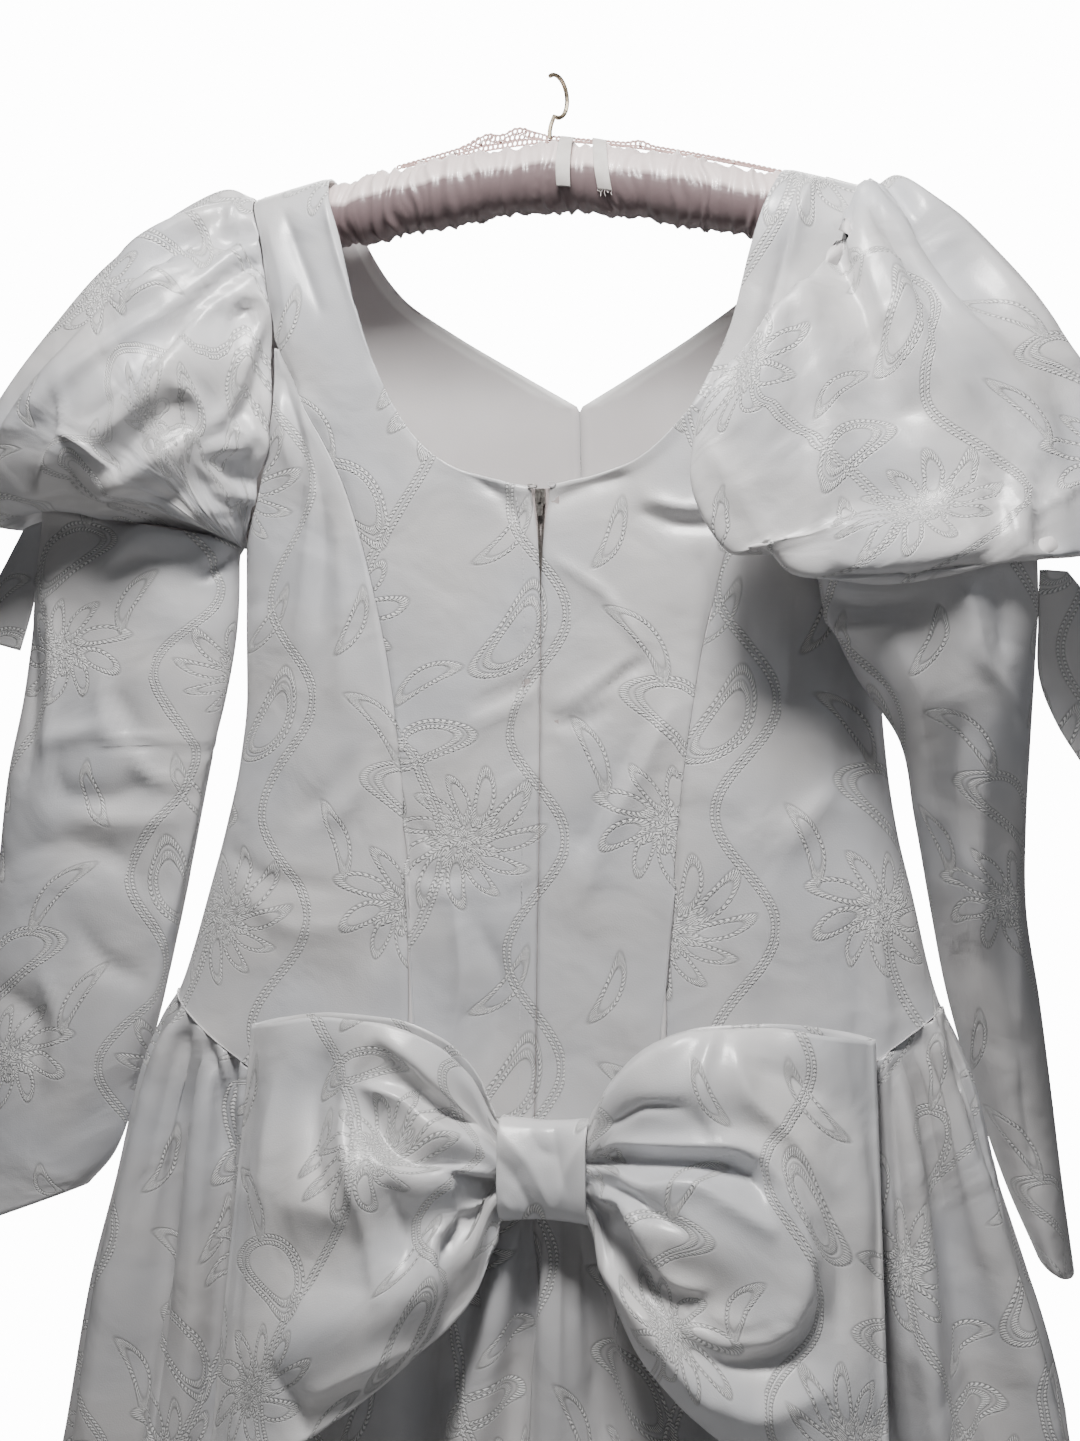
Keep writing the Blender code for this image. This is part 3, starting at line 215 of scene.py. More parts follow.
# Rows of a panel. Columns: drop at its inner edge, drop at its outer edge.
CENTRE_BACK_ROWS = [(0.0643, 0.0776), (0.0800, 0.0925), (0.1400, 0.1470), (0.1790, 0.1840), (0.2379, 0.2450)]
CENTRE_BACK_ROWS += [(0.2615, 0.2759), (0.2725, 0.3080), (0.2770, 0.3450), (0.3150, 0.3850)]
CENTRE_BACK_ROWS += [(0.3800, 0.4300), (0.4500, 0.4800), (0.5400, 0.5350), (0.6350, 0.5850)]
CENTRE_FRONT_ROWS = [(0.0643, 0.0776), (0.0780, 0.0925), (0.1150, 0.1470), (0.1400, 0.1840), (0.1830, 0.2450)]
CENTRE_FRONT_ROWS += [(0.2088, 0.2759), (0.2500, 0.3080), (0.3000, 0.3450), (0.3600, 0.3850)]
CENTRE_FRONT_ROWS += [(0.4200, 0.4300), (0.4900, 0.4800), (0.5600, 0.5350), (0.6400, 0.5850)]
SIDE_ROWS = [(0.1840, 0.1830), (0.2149, 0.2149), (0.2759, 0.2759), (0.3080, 0.2960), (0.3450, 0.3080)]
SIDE_ROWS += [(0.3850, 0.3650), (0.4300, 0.4200), (0.4800, 0.4750), (0.5350, 0.5300), (0.5850, 0.5750)]


def curve(rows, column):
    """A table's column as a smooth function of its first column, without overshoot."""
    keys = np.array([row[0] for row in rows], float)
    values = np.array([row[column] for row in rows], float)
    rises = np.diff(values) / np.diff(keys)
    slopes = np.zeros(len(keys))
    slopes[0], slopes[-1] = rises[0], rises[-1]
    with np.errstate(divide="ignore", invalid="ignore"):
        joined = 2 * rises[:-1] * rises[1:] / (rises[:-1] + rises[1:])
    slopes[1:-1] = np.where(rises[:-1] * rises[1:] > 0, joined, 0.0)

    def at(key):
        key = np.clip(key, keys[0], keys[-1])
        i = np.clip(np.searchsorted(keys, key, side="right") - 1, 0, len(rises) - 1)
        wide = keys[i + 1] - keys[i]
        t = (key - keys[i]) / wide
        start = values[i] * (1 + 2 * t) * (1 - t) ** 2 + slopes[i] * wide * t * (1 - t) ** 2
        end = values[i + 1] * (3 - 2 * t) * t**2 + slopes[i + 1] * wide * (t - 1) * t**2
        return start + end

    return at


def mix(a, b, t):
    """A value between two others, by a share."""
    return a + (b - a) * t


def eased(low, high, value):
    """0 below low, 1 above high, smooth between them."""
    t = np.clip((value - low) / (high - low), 0.0, 1.0)
    return t * t * (3 - 2 * t)


def power(value, exponent):
    """A power that keeps the value's sign."""
    return np.sign(value) * np.abs(value) ** exponent


def unit(vectors):
    """Vectors of length 1."""
    return vectors / np.maximum(np.linalg.norm(vectors, axis=-1, keepdims=True), 1e-12)


HALF_LEFT, HALF_RIGHT, DEPTH_BACK, DEPTH_FRONT = (curve(FORM, column) for column in (1, 2, 3, 4))
BACK_NECK_X, FRONT_NECK_X, ZIP_EDGE_X = curve(BACK_NECK, 1), curve(FRONT_NECK, 1), curve(ZIP_EDGE, 1)
ARMHOLE_X = {True: curve(ARMHOLE, 1), False: curve(ARMHOLE, 2)}
PRINCESS_X = {True: curve(PRINCESS, 1), False: curve(PRINCESS, 2)}


def pad_top(x):
    """Drop of the hanger's upper line."""
    return SHOULDER_TOP + SHOULDER_FALL * np.abs(x / NECK_HALF) ** SHOULDER_CURVE


def shoulder(x):
    """Drop of the shoulder seam, which lies on the hanger."""
    return pad_top(x) - CLOTH_WALL - 2 * SEAM


def settled(points):
    """The hanger and the shoulders hang a little lower on the right."""
    fade = 1 - eased(TILT_FULL, TILT_NONE, -points[..., 2])
    lowered = points.copy()
    lowered[..., 2] += HANG_TILT * fade * points[..., 0]
    return lowered


def body_point(angle, drop):
    """Points of the gown's outside: angle 0 is the left side seam, 90 degrees the middle of the back."""
    c, s = np.cos(angle), np.sin(angle)
    x = np.where(c > 0, HALF_LEFT(drop), HALF_RIGHT(drop)) * power(c, 2 / ROUND)
    y = np.where(s > 0, DEPTH_BACK(drop), DEPTH_FRONT(drop)) * power(s, 2 / ROUND)
    over = np.clip((drop - shoulder(x)) / SHOULDER_ROUND, 0.0, 1.0)
    return np.stack([x, y * np.sqrt(1 - (1 - over) ** 2), -drop + 0 * x], axis=-1)


def angle_at(x, drop, back):
    """The body's angle at a distance x from the middle, on the back or the front."""
    half = np.where(x > 0, HALF_LEFT(drop), HALF_RIGHT(drop))
    turn = np.arccos(np.minimum(np.abs(x) / half, 1.0) ** (ROUND / 2))
    turn = np.where(x > 0, turn, math.pi - turn)
    return turn if back else -turn


def waist(angle):
    """Drop of the waist seam, which dips to a point behind and in front."""
    return mix(WAIST_POINT, WAIST_SIDE, np.abs(np.cos(angle)) ** (2 / ROUND * WAIST_CURVE))


def waist_angle(edge, side, back):
    """The angle at which a seam, given as its distance from the middle at a drop, meets the waist."""
    angle = angle_at(side * edge(WAIST_POINT), WAIST_POINT, back)
    for _ in range(WAIST_TRIES):
        angle = angle_at(side * edge(waist(angle)), waist(angle), back)
    return angle


def panel_points(rows, edge_in, edge_out, side, back, shape):
    """The fine grid of a bodice panel between two seams, from its upper edge down to the waist."""
    fine_rows, fine_columns = shape
    steps = np.arange(len(rows) + 1.0)
    ends = [waist_angle(edge, side, back) for edge in (edge_in, edge_out)]
    drops = [np.array([row[k] for row in rows] + [float(waist(ends[k]))]) for k in (0, 1)]
    v = np.linspace(0, len(rows), fine_rows + 1)
    table = list(zip(steps, drops[0], drops[1]))
    inner, outer = curve(table, 1)(v), curve(table, 2)(v)
    t = np.linspace(0, 1, fine_columns + 1)[None, :]
    angles = [angle_at(side * edge_in(inner), inner, back), angle_at(side * edge_out(outer), outer, back)]
    angle = mix(angles[0][:, None], angles[1][:, None], t)
    drop = mix(inner[:, None], outer[:, None], t)
    share = (v / v[-1])[:, None]
    inside = 4 * t * (1 - t)
    leaned = drop + (waist(angle) - drop) * share**WAIST_LEAN * np.minimum(inside * 2, 1)
    drop = np.where(share == 1, waist(angle), leaned)
    points = body_point(angle, drop)
    if rows[0][1] < SHOULDER_ROW:
        x = points[0, :, 0]
        points[0] = np.stack([x, np.full_like(x, SEAM / 2 if back else -SEAM / 2), -shoulder(x)], axis=-1)
    return settled(points)


# ---- satin jacquard ------------------------------------------------------------------------------
# White satin woven with tone-on-tone figures: flowers of looped petals, leaves and winding ribbons, all
# in outlines under 3 mm wide that are hatched with tiny bright stitches. It is lined in smooth acetate.
TILE_WIDE, TILE_TALL = 0.225, 0.290
# Width of the outlines, the share of it that is hatched, and the hatching's pitch, slant, contrast and
# share of thread.
OUTLINE, STITCH_SHARE = 0.0027, 0.70
HATCH_PITCH, HATCH_SLANT, HATCH_CONTRAST, HATCH_SHARE = 0.0027, 0.8, 1.2, 0.85
# How uneven and how swirled the petals are, and how far a leaf and a loop bend.
PETAL_UNEVEN, PETAL_SWIRL, LEAF_BEND, LOOP_BEND = 0.16, 9.0, 9.0, 8.0
# Casts of the satin's pearl sheen, at random: partly its tint, partly painted sheen. An outline's painted
# shade, as a share of the satin's tone, how much of it shows, and the tone of its hatching and how much of
# that shows.
TINT_AND_SHEEN_WARM, TINT_AND_SHEEN_COOL = (1.06, 1.04, 1.03), (0.925, 0.935, 0.965)
OUTLINE_SHADE_TONE, OUTLINE_SHADE_SHOWS, HATCH_TONE, HATCH_SHOWS = 0.50, 0.72, (0.99, 0.985, 0.98), 0.95
# Heights of the relief, in steps: outlines, hatching, soft waves and weave, and the step in metres.
OUTLINE_HIGH, HATCH_HIGH, WAVES_HIGH, WEAVE_HIGH, RELIEF_STEP = -0.55, 1.3, 11.0, 0.20, 0.0008
# Flowers of the repeat. Columns: across, up, turn, petals, reach of a petal, its half length, half width.
FLOWERS = [
    (0.070, 0.205, 0.3, 11, 0.0290, 0.0165, 0.0052),
    (0.070, 0.205, 0.6, 7, 0.0120, 0.0080, 0.0034),
    (0.160, 0.070, 1.1, 9, 0.0260, 0.0150, 0.0055),
    (0.160, 0.070, 0.2, 6, 0.0100, 0.0070, 0.0032),
]
# Leaves. Columns: across, up, turn, half length, half width.
LEAVES = [
    (0.175, 0.190, 0.9, 0.0270, 0.0062),
    (0.040, 0.110, 2.3, 0.0240, 0.0055),
    (0.098, 0.020, -0.5, 0.0220, 0.0058),
    (0.195, 0.255, 2.0, 0.0200, 0.0050),
    (0.205, 0.115, 1.2, 0.0230, 0.0052),
    (0.118, 0.215, 1.9, 0.0180, 0.0048),
]
# Ribbons that wind up the cloth. Columns: across, swing, turns in a repeat, start, half width.
RIBBONS_WOVEN = [(0.118, 0.034, 1, 0.4, 0.0022), (0.022, 0.020, 2, 2.1, 0.0019)]
# Loops of ribbon. Columns: across, up, turn, half length, half width, half the ribbon's width.
LOOPS_WOVEN = [
    (0.150, 0.142, 0.7, 0.0340, 0.0150, 0.0020),
    (0.035, 0.045, 2.2, 0.0300, 0.0120, 0.0019),
    (0.100, 0.268, -0.4, 0.0260, 0.0100, 0.0018),
]


class Net:
    """Writes nodes into a node tree. Called, it writes arithmetic on numbers and outputs."""

    def __init__(self, tree):
        self.tree, self.link = tree, tree.links.new

    def put(self, kind, **values):
        """A new node, with inputs and settings by name. In an input's name, an underscore is a space."""
        node = self.tree.nodes.new("ShaderNode" + kind)
        for name, value in values.items():
            socket = name.replace("_", " ")
            if socket in node.inputs:
                node.inputs[socket].default_value = value
            else:
                setattr(node, name, value)
        return node

    def __call__(self, operation, *values):
        node = self.put("Math", operation=operation)
        for socket, value in zip(node.inputs, values):
            if isinstance(value, (int, float)):
                socket.default_value = value
            else:
                self.link(value, socket)
        return node.outputs[0]

    def spread(self, value, **limits):
        """A value taken from one range to another."""
        node = self.put("MapRange", **limits)
        self.link(value, node.inputs["Value"])
        return node.outputs["Result"]

    def band(self, distance, half):
        """1 where a distance is under half, with a soft edge."""
        ends = dict(From_Min=half * 0.55, From_Max=half * 1.45, To_Min=1.0, To_Max=0.0)
        return self.spread(distance, interpolation_type="SMOOTHSTEP", **ends)


class Finish(Net):
    """A material in the making. Its shader's own values are given by name, as in put."""

    def __init__(self, name, **values):
        self.made = bpy.data.materials.new(name)
        self.made.use_nodes = True
        super().__init__(self.made.node_tree)
        self.shader = self.tree.nodes["Principled BSDF"]
        for socket, value in values.items():
            self.shader.inputs[socket.replace("_", " ")].default_value = value

    def noise(self, place, **values):
        node = self.put("TexNoise", **values)
        self.link(place, node.inputs["Vector"])
        return node.outputs["Fac"]

    def ramp(self, value, *stops):
        """A colour that follows a value. Columns of the stops: value, colour."""
        node = self.put("ValToRGB")
        for element, (at, colour) in zip(node.color_ramp.elements, stops):
            element.position, element.color = at, (*colour, 1)
        self.link(value, node.inputs["Fac"])
        return node.outputs["Color"]

    def over(self, share, colour, under):
        """A colour laid over another, as far as the share says."""
        node = self.put("Mix", data_type="RGBA", B=(*colour, 1))
        self.link(share, node.inputs["Factor"])
        self.link(under, node.inputs["A"])
        return node.outputs["Result"]

    def colour(self, value):
        self.link(value, self.shader.inputs["Base Color"])

    def rough(self, value, low, high):
        """Roughness between two limits."""
        self.link(self.spread(value, To_Min=low, To_Max=high), self.shader.inputs["Roughness"])

    def relief(self, height, strength, step):
        node = self.put("Bump", Strength=strength, Distance=step)
        self.link(height, node.inputs["Height"])
        self.link(node.outputs["Normal"], self.shader.inputs["Normal"])


def jacquard_group():
    """Node group: where the woven outlines run, and their hatching, from a place on the cloth in metres."""
    tree = bpy.data.node_groups.new("jacquard_figures", "ShaderNodeTree")
    tree.interface.new_socket("Place", in_out="INPUT", socket_type="NodeSocketVector")
    tree.interface.new_socket("Outline", in_out="OUTPUT", socket_type="NodeSocketFloat")
    tree.interface.new_socket("Hatch", in_out="OUTPUT", socket_type="NodeSocketFloat")
    do = Net(tree)
    given, made = tree.nodes.new("NodeGroupInput"), tree.nodes.new("NodeGroupOutput")
    split = tree.nodes.new("ShaderNodeSeparateXYZ")
    tree.links.new(given.outputs["Place"], split.inputs[0])
    across, up = split.outputs[0], split.outputs[1]
    tile = do("FLOOR", do("DIVIDE", across, TILE_WIDE))
    half_drop = do("MULTIPLY", do("PINGPONG", tile, 1.0), TILE_TALL / 2)
    x = do("SUBTRACT", across, do("MULTIPLY", tile, TILE_WIDE))
    y = do("WRAP", do("ADD", up, half_drop), TILE_TALL, 0.0)
    lines = []

    def local(cx, cy, turn):
        c, s = math.cos(turn), math.sin(turn)
        dx, dy = do("SUBTRACT", x, cx), do("SUBTRACT", y, cy)
        first = do("ADD", do("MULTIPLY", dx, c), do("MULTIPLY", dy, s))
        second = do("SUBTRACT", do("MULTIPLY", dy, c), do("MULTIPLY", dx, s))
        return first, second

    def oval(along, beside, long, wide):
        """Distance from the outline of an oval, and how far round it a place lies."""
        a, b = do("DIVIDE", along, long), do("DIVIDE", beside, wide)
        size = do("SQRT", do("ADD", do("MULTIPLY", a, a), do("MULTIPLY", b, b)))
        away = do("MULTIPLY", do("ABSOLUTE", do("SUBTRACT", size, 1.0)), wide)
        return away, do("MULTIPLY", do("ARCTAN2", b, a), 0.8 * long)

    for cx, cy, turn, petals, reach, long, wide in FLOWERS:
        u, v = local(cx, cy, turn)
        bearing = do("ARCTAN2", v, u)
        far = do("SQRT", do("ADD", do("MULTIPLY", u, u), do("MULTIPLY", v, v)))
        waver = do("SINE", do("MULTIPLY", bearing, 2.0))
        uneven = do("ADD", do("MULTIPLY", waver, PETAL_UNEVEN), 1.0)
        far = do("MULTIPLY", far, uneven)
        sector = 2 * math.pi / petals
        swirl = do("ADD", bearing, do("MULTIPLY", far, PETAL_SWIRL))
        off = do("MULTIPLY", do("SUBTRACT", do("FRACT", do("DIVIDE", swirl, sector)), 0.5), sector)
        along = do("SUBTRACT", do("MULTIPLY", far, do("COSINE", off)), reach)
        beside = do("MULTIPLY", far, do("SINE", off))
        lines.append(oval(along, beside, long, wide))
    for cx, cy, turn, long, wide in LEAVES:
        u, v = local(cx, cy, turn)
        bent = do("ADD", v, do("MULTIPLY", do("MULTIPLY", u, u), LEAF_BEND))
        lines.append(oval(u, bent, long, wide))
    for cx, swing, turns, start, wide in RIBBONS_WOVEN:
        phase = do("ADD", do("MULTIPLY", y, 2 * math.pi * turns / TILE_TALL), start)
        middle = do("ADD", do("MULTIPLY", do("SINE", phase), swing), cx)
        steep = do("MULTIPLY", do("COSINE", phase), swing * 2 * math.pi * turns / TILE_TALL)
        lean = do("SQRT", do("ADD", do("MULTIPLY", steep, steep), 1.0))
        off = do("ABSOLUTE", do("DIVIDE", do("SUBTRACT", x, middle), lean))
        lines.append((do("ABSOLUTE", do("SUBTRACT", off, wide)), do("MULTIPLY", y, 1.1)))
    for cx, cy, turn, long, wide, half in LOOPS_WOVEN:
        u, v = local(cx, cy, turn)
        bent = do("ADD", v, do("MULTIPLY", do("MULTIPLY", u, u), LOOP_BEND))
        away, round_it = oval(u, bent, long, wide)
        lines.append((do("ABSOLUTE", do("SUBTRACT", away, half)), round_it))
    nearest, run = lines[0]
    for line, along in lines[1:]:
        closer = do("LESS_THAN", line, nearest)
        run = do("ADD", run, do("MULTIPLY", closer, do("SUBTRACT", along, run)))
        nearest = do("MINIMUM", nearest, line)
    outline = do.band(nearest, OUTLINE / 2)
    slanted = do("MULTIPLY_ADD", nearest, HATCH_SLANT, run)
    stitches = do("SINE", do("MULTIPLY", slanted, 2 * math.pi / HATCH_PITCH))
    stitched = do("MULTIPLY_ADD", stitches, HATCH_CONTRAST, HATCH_SHARE)
    stitched = do("MAXIMUM", do("MINIMUM", stitched, 1.0), 0.0)
    hatch = do("MULTIPLY", do.band(nearest, OUTLINE / 2 * STITCH_SHARE), stitched)
    tree.links.new(outline, made.inputs["Outline"])
    tree.links.new(hatch, made.inputs["Hatch"])
    return tree


def satin_jacquard(name, tone):
    """White satin with pearly casts, partly painted sheen; its figures' outlines sunk, with painted shade,
    and bright hatching in them.
    """
    satin = Finish(name, Specular_IOR_Level=0.6, Coat_Weight=0.40, Coat_Roughness=0.24, Sheen_Weight=0.10)
    place = satin.put("UVMap", uv_map="cloth").outputs["UV"]
    warm_sheen_tone, cool_sheen_tone = ([c * w for c, w in zip(tone, cast)] for cast in (TINT_AND_SHEEN_WARM, TINT_AND_SHEEN_COOL))
    # Partly painted sheen: the satin's tone drifts at random between a warmer, lighter and a cooler, darker
    # cast.
    pearly_sheen = satin.ramp(satin.noise(place, Scale=9.0, Detail=2.0), (0.38, warm_sheen_tone), (0.62, cool_sheen_tone))
    figures = satin.put("Group", node_tree=JACQUARD)
    satin.link(place, figures.inputs["Place"])
    outline, hatch = figures.outputs["Outline"], figures.outputs["Hatch"]
    # Painted shade, partly the figures' own tone: the sunk outlines are darker at their edges and between
    # their bright stitches.
    sunk_shade_tone = [OUTLINE_SHADE_TONE * c for c in tone]
    sunk = satin.over(satin("MULTIPLY", outline, OUTLINE_SHADE_SHOWS), sunk_shade_tone, pearly_sheen)
    satin.colour(satin.over(satin("MULTIPLY", hatch, HATCH_SHOWS), HATCH_TONE, sunk))
    satin.rough(outline, 0.37, 0.50)
    figured = satin("MULTIPLY_ADD", outline, OUTLINE_HIGH, satin("MULTIPLY", hatch, HATCH_HIGH))
    ease = satin.noise(place, Scale=17.0, Detail=3.0, Roughness=0.34, Distortion=0.4)
    waves = satin("MULTIPLY_ADD", ease, WAVES_HIGH, figured)
    weave = satin.noise(place, Scale=900.0, Detail=1.0)
    satin.relief(satin("MULTIPLY_ADD", weave, WEAVE_HIGH, waves), 0.8, RELIEF_STEP)
    return satin.made


# The same satin as it lies flat, painted darker for the skirt as painted shade, and lighter for the bow as
# painted light.
JACQUARD = jacquard_group()
SATIN = satin_jacquard("satin_jacquard", (0.66, 0.66, 0.665))
SATIN_PAINTED_SHADE = satin_jacquard("satin_painted_shade", (0.61, 0.61, 0.615))
SATIN_PAINTED_LIGHT = satin_jacquard("satin_painted_light", (0.82, 0.82, 0.82))


def plain_lining():
    """Smooth acetate lining, a little warmer and duller than the satin, with a satin band at the neck."""
    lining = Finish("acetate_lining", Sheen_Weight=0.1)
    place = lining.put("UVMap", uv_map="cloth").outputs["UV"]
    blotch = lining.noise(place, Scale=14.0, Detail=3.0)
    tone = lining.ramp(blotch, (0.35, (0.70, 0.67, 0.67)), (0.65, (0.76, 0.735, 0.735)))
    band = lining.put("Attribute", attribute_name="neck_band").outputs["Fac"]
    lining.colour(lining.over(band, (0.97, 0.96, 0.95), tone))
    thread = lining.noise(place, Scale=700.0, Detail=1.0)
    lining.rough(thread, 0.42, 0.55)
    lining.relief(thread, 0.25, 0.0003)
    return lining.made


LINING = plain_lining()
# A crease's profile, where it fades on what faces away, and the places along it.
CREASE_PROFILE, CREASE_FADE, CREASE_STEPS = 1.35, 0.55, 14


def normals_of(points, form="panel"):
    """Unit normals of a grid of cloth points, turned away from the inside of the piece.

    A panel lies round the gown's upright axis. A loop lies round its own middle, and so does a tube, which
    also closes on itself.
    """
    along = np.gradient(points, axis=1)
    inside = points * np.array([0, 0, 1.0])
    if form == "tube":
        ring = points[:, :-1]
        along = np.roll(ring, -1, axis=1) - np.roll(ring, 1, axis=1)
        along = np.concatenate([along, along[:, :1]], axis=1)
    if form != "panel":
        inside = points[:, :-1].mean(axis=1, keepdims=True)
    normals = unit(np.cross(along, np.gradient(points, axis=0)))
    return normals * np.sign((normals * (points - inside)).sum())


def smooth_path(spots):
    """A smooth line through a crease's places, in metres, with its strength, which fades at its ends."""
    keys = np.linspace(0, 1, len(spots))
    rows = [(key, x / 1000, z / 1000) for key, (x, z) in zip(keys, spots)]
    at = np.linspace(0, 1, CREASE_STEPS)
    strength = 0.4 + 0.6 * np.sin(math.pi * at) ** 0.7
    return np.stack([curve(rows, 1)(at), curve(rows, 2)(at), strength], axis=-1)


def creased(points, creases, form="panel", back=True, most=0.0055):
    """Presses soft creases into a grid of cloth. Columns: height, or depth where it is below 0, and half
    width in millimetres; places it passes, as x and z in millimetres. Where creases meet, the cloth moves
    no further than most."""
    normals = normals_of(points, form)
    facing = eased(0, CREASE_FADE, normals[..., 1] * (1 if back else -1))
    lift = np.zeros(points.shape[:2])
    flat = points[..., [0, 2]]
    for height, wide, spots in creases:
        path, wide = smooth_path(spots), wide / 1000
        low, high = path[:, :2].min(0) - 3 * wide, path[:, :2].max(0) + 3 * wide
        near = ((flat > low) & (flat < high)).all(axis=-1) & (facing > 0)
        here = flat[near]
        best, value = np.full(len(here), 1e9), np.zeros(len(here))
        for start, end in zip(path, path[1:]):
            step = end[:2] - start[:2]
            t = np.clip(((here - start[:2]) @ step) / max(step @ step, 1e-12), 0, 1)
            far = np.linalg.norm(here - (start[:2] + t[:, None] * step), axis=1)
            nearer = far < best
            best = np.where(nearer, far, best)
            share = np.exp(-((far / wide) ** CREASE_PROFILE)) * mix(start[2], end[2], t)
            value = np.where(nearer, share, value)
        lift[near] += height / 1000 * value
    return points + normals * (most * np.tanh(lift / most) * facing)[..., None]


def seam_rolled(points, depth=0.0009, wide=0.0035):
    """Cloth turns in a little along the seams at its sides."""
    normals = normals_of(points)
    step = np.linalg.norm(np.diff(points, axis=1), axis=-1)
    along = np.concatenate([np.zeros((len(points), 1)), np.cumsum(step, axis=1)], axis=1)
    near = np.minimum(along, along[:, -1:] - along)
    return points - normals * (depth * np.exp(-((near / wide) ** 2)))[..., None]


def cloth_uv(points, start, straight):
    """Places on the flat cloth in metres. A straight-cut piece keeps its heights and its level distances
    from its first column. Any other is measured along its rows from its middle column, and down that
    column."""
    steps = np.diff(points, axis=1) * np.array([1, 1, 0 if straight else 1])
    across = np.cumsum(np.linalg.norm(steps, axis=-1), axis=1)
    across = np.concatenate([np.zeros((len(points), 1)), across], axis=1)
    if straight:
        across = points[:, :1, 0] + across * np.sign(points[-1, -1, 0] - points[-1, 0, 0])
        return np.stack([start[0] + across, start[1] + points[..., 2]], axis=-1)
    middle = points.shape[1] // 2
    down = np.linalg.norm(np.diff(points[:, middle], axis=0), axis=-1)
    down = np.concatenate([[0.0], np.cumsum(down)])
    across = across - across[:, middle : middle + 1]
    return np.stack([start[0] + across, start[1] - down[:, None] + 0 * across], axis=-1)


def spots_and_corners(mesh):
    """Where a mesh's vertices lie, and which vertex stands at each corner of its faces."""
    spots, corners = np.empty(len(mesh.vertices) * 3, np.float32), np.empty(len(mesh.loops), np.int32)
    mesh.vertices.foreach_get("co", spots)
    mesh.loops.foreach_get("vertex_index", corners)
    return spots.reshape(-1, 3), corners


def cloth_piece(name, points, start=(0.0, 0.0), form="panel", wall=CLOTH_WALL, materials=None, band=None):
    """A thin shell of cloth on a grid of points. A tube's last column repeats its first."""
    rows, columns = points.shape[0] - 1, points.shape[1] - 1
    bm = bmesh.new()
    bmesh.ops.create_grid(bm, x_segments=columns, y_segments=rows, size=0.5)
    mesh = mesh_of(bm, name)
    spots, corners = spots_and_corners(mesh)
    at = np.rint((spots[:, 0] + 0.5) * columns).astype(int)
    row = np.rint((0.5 - spots[:, 1]) * rows).astype(int)
    mesh.vertices.foreach_set("co", points[row, at].astype(np.float32).ravel())
    places = cloth_uv(points, start, form == "panel")[row, at][corners]
    mesh.uv_layers.new(name="cloth").data.foreach_set("uv", places.astype(np.float32).ravel())
    if band is not None:
        shares = mesh.attributes.new("neck_band", "FLOAT", "POINT")
        shares.data.foreach_set("value", band[row, at].astype(np.float32))
    normals = normals_of(points, form)
    face = mesh.polygons[len(mesh.polygons) // 2 + columns // 3]
    if face.normal.dot(Vector(normals[row[face.vertices[0]], at[face.vertices[0]]])) < 0:
        mesh.flip_normals()
    if form == "tube":
        bm = bmesh.new()
        bm.from_mesh(mesh)
        bmesh.ops.remove_doubles(bm, verts=bm.verts, dist=1e-6)
        bm.to_mesh(mesh)
        bm.free()
    mesh.shade_smooth()
    for finish in materials or (SATIN, LINING):
        mesh.materials.append(finish)
    made = in_scene(name, mesh)
    if wall:
        thick = made.modifiers.new("wall", "SOLIDIFY")
        thick.thickness, thick.offset = wall, -1
        thick.material_offset = 1
    return made


def on_gown(piece, node=None):
    """Says which node a piece stands for, if any, and that the gown carries it."""
    if node:
        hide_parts(node)
    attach(piece, "gown")
    return piece


def declare_cloth(piece, node):
    """Says which node a piece of satin stands for, and that the gown carries it."""
    on_gown(piece, node)


# ---- bodice --------------------------------------------------------------------------------------
# Eight panels cut to the body form and sewn together along princess and side seams, with a scooped
# neckline behind and a V in front, and pressed so that each seam sinks a little between its panels.
# Rows and columns of a panel's grid, behind and in front.
CENTRE_FINE = {True: (190, 64), False: (110, 40)}
SIDE_FINE = {True: (150, 44), False: (80, 30)}
# The gap where two panels meet, the width at which the neck's facing ends, and where it starts.
MEET, FACING, FACING_FROM = 0.00002, (0.0065, 0.0085), 0.002
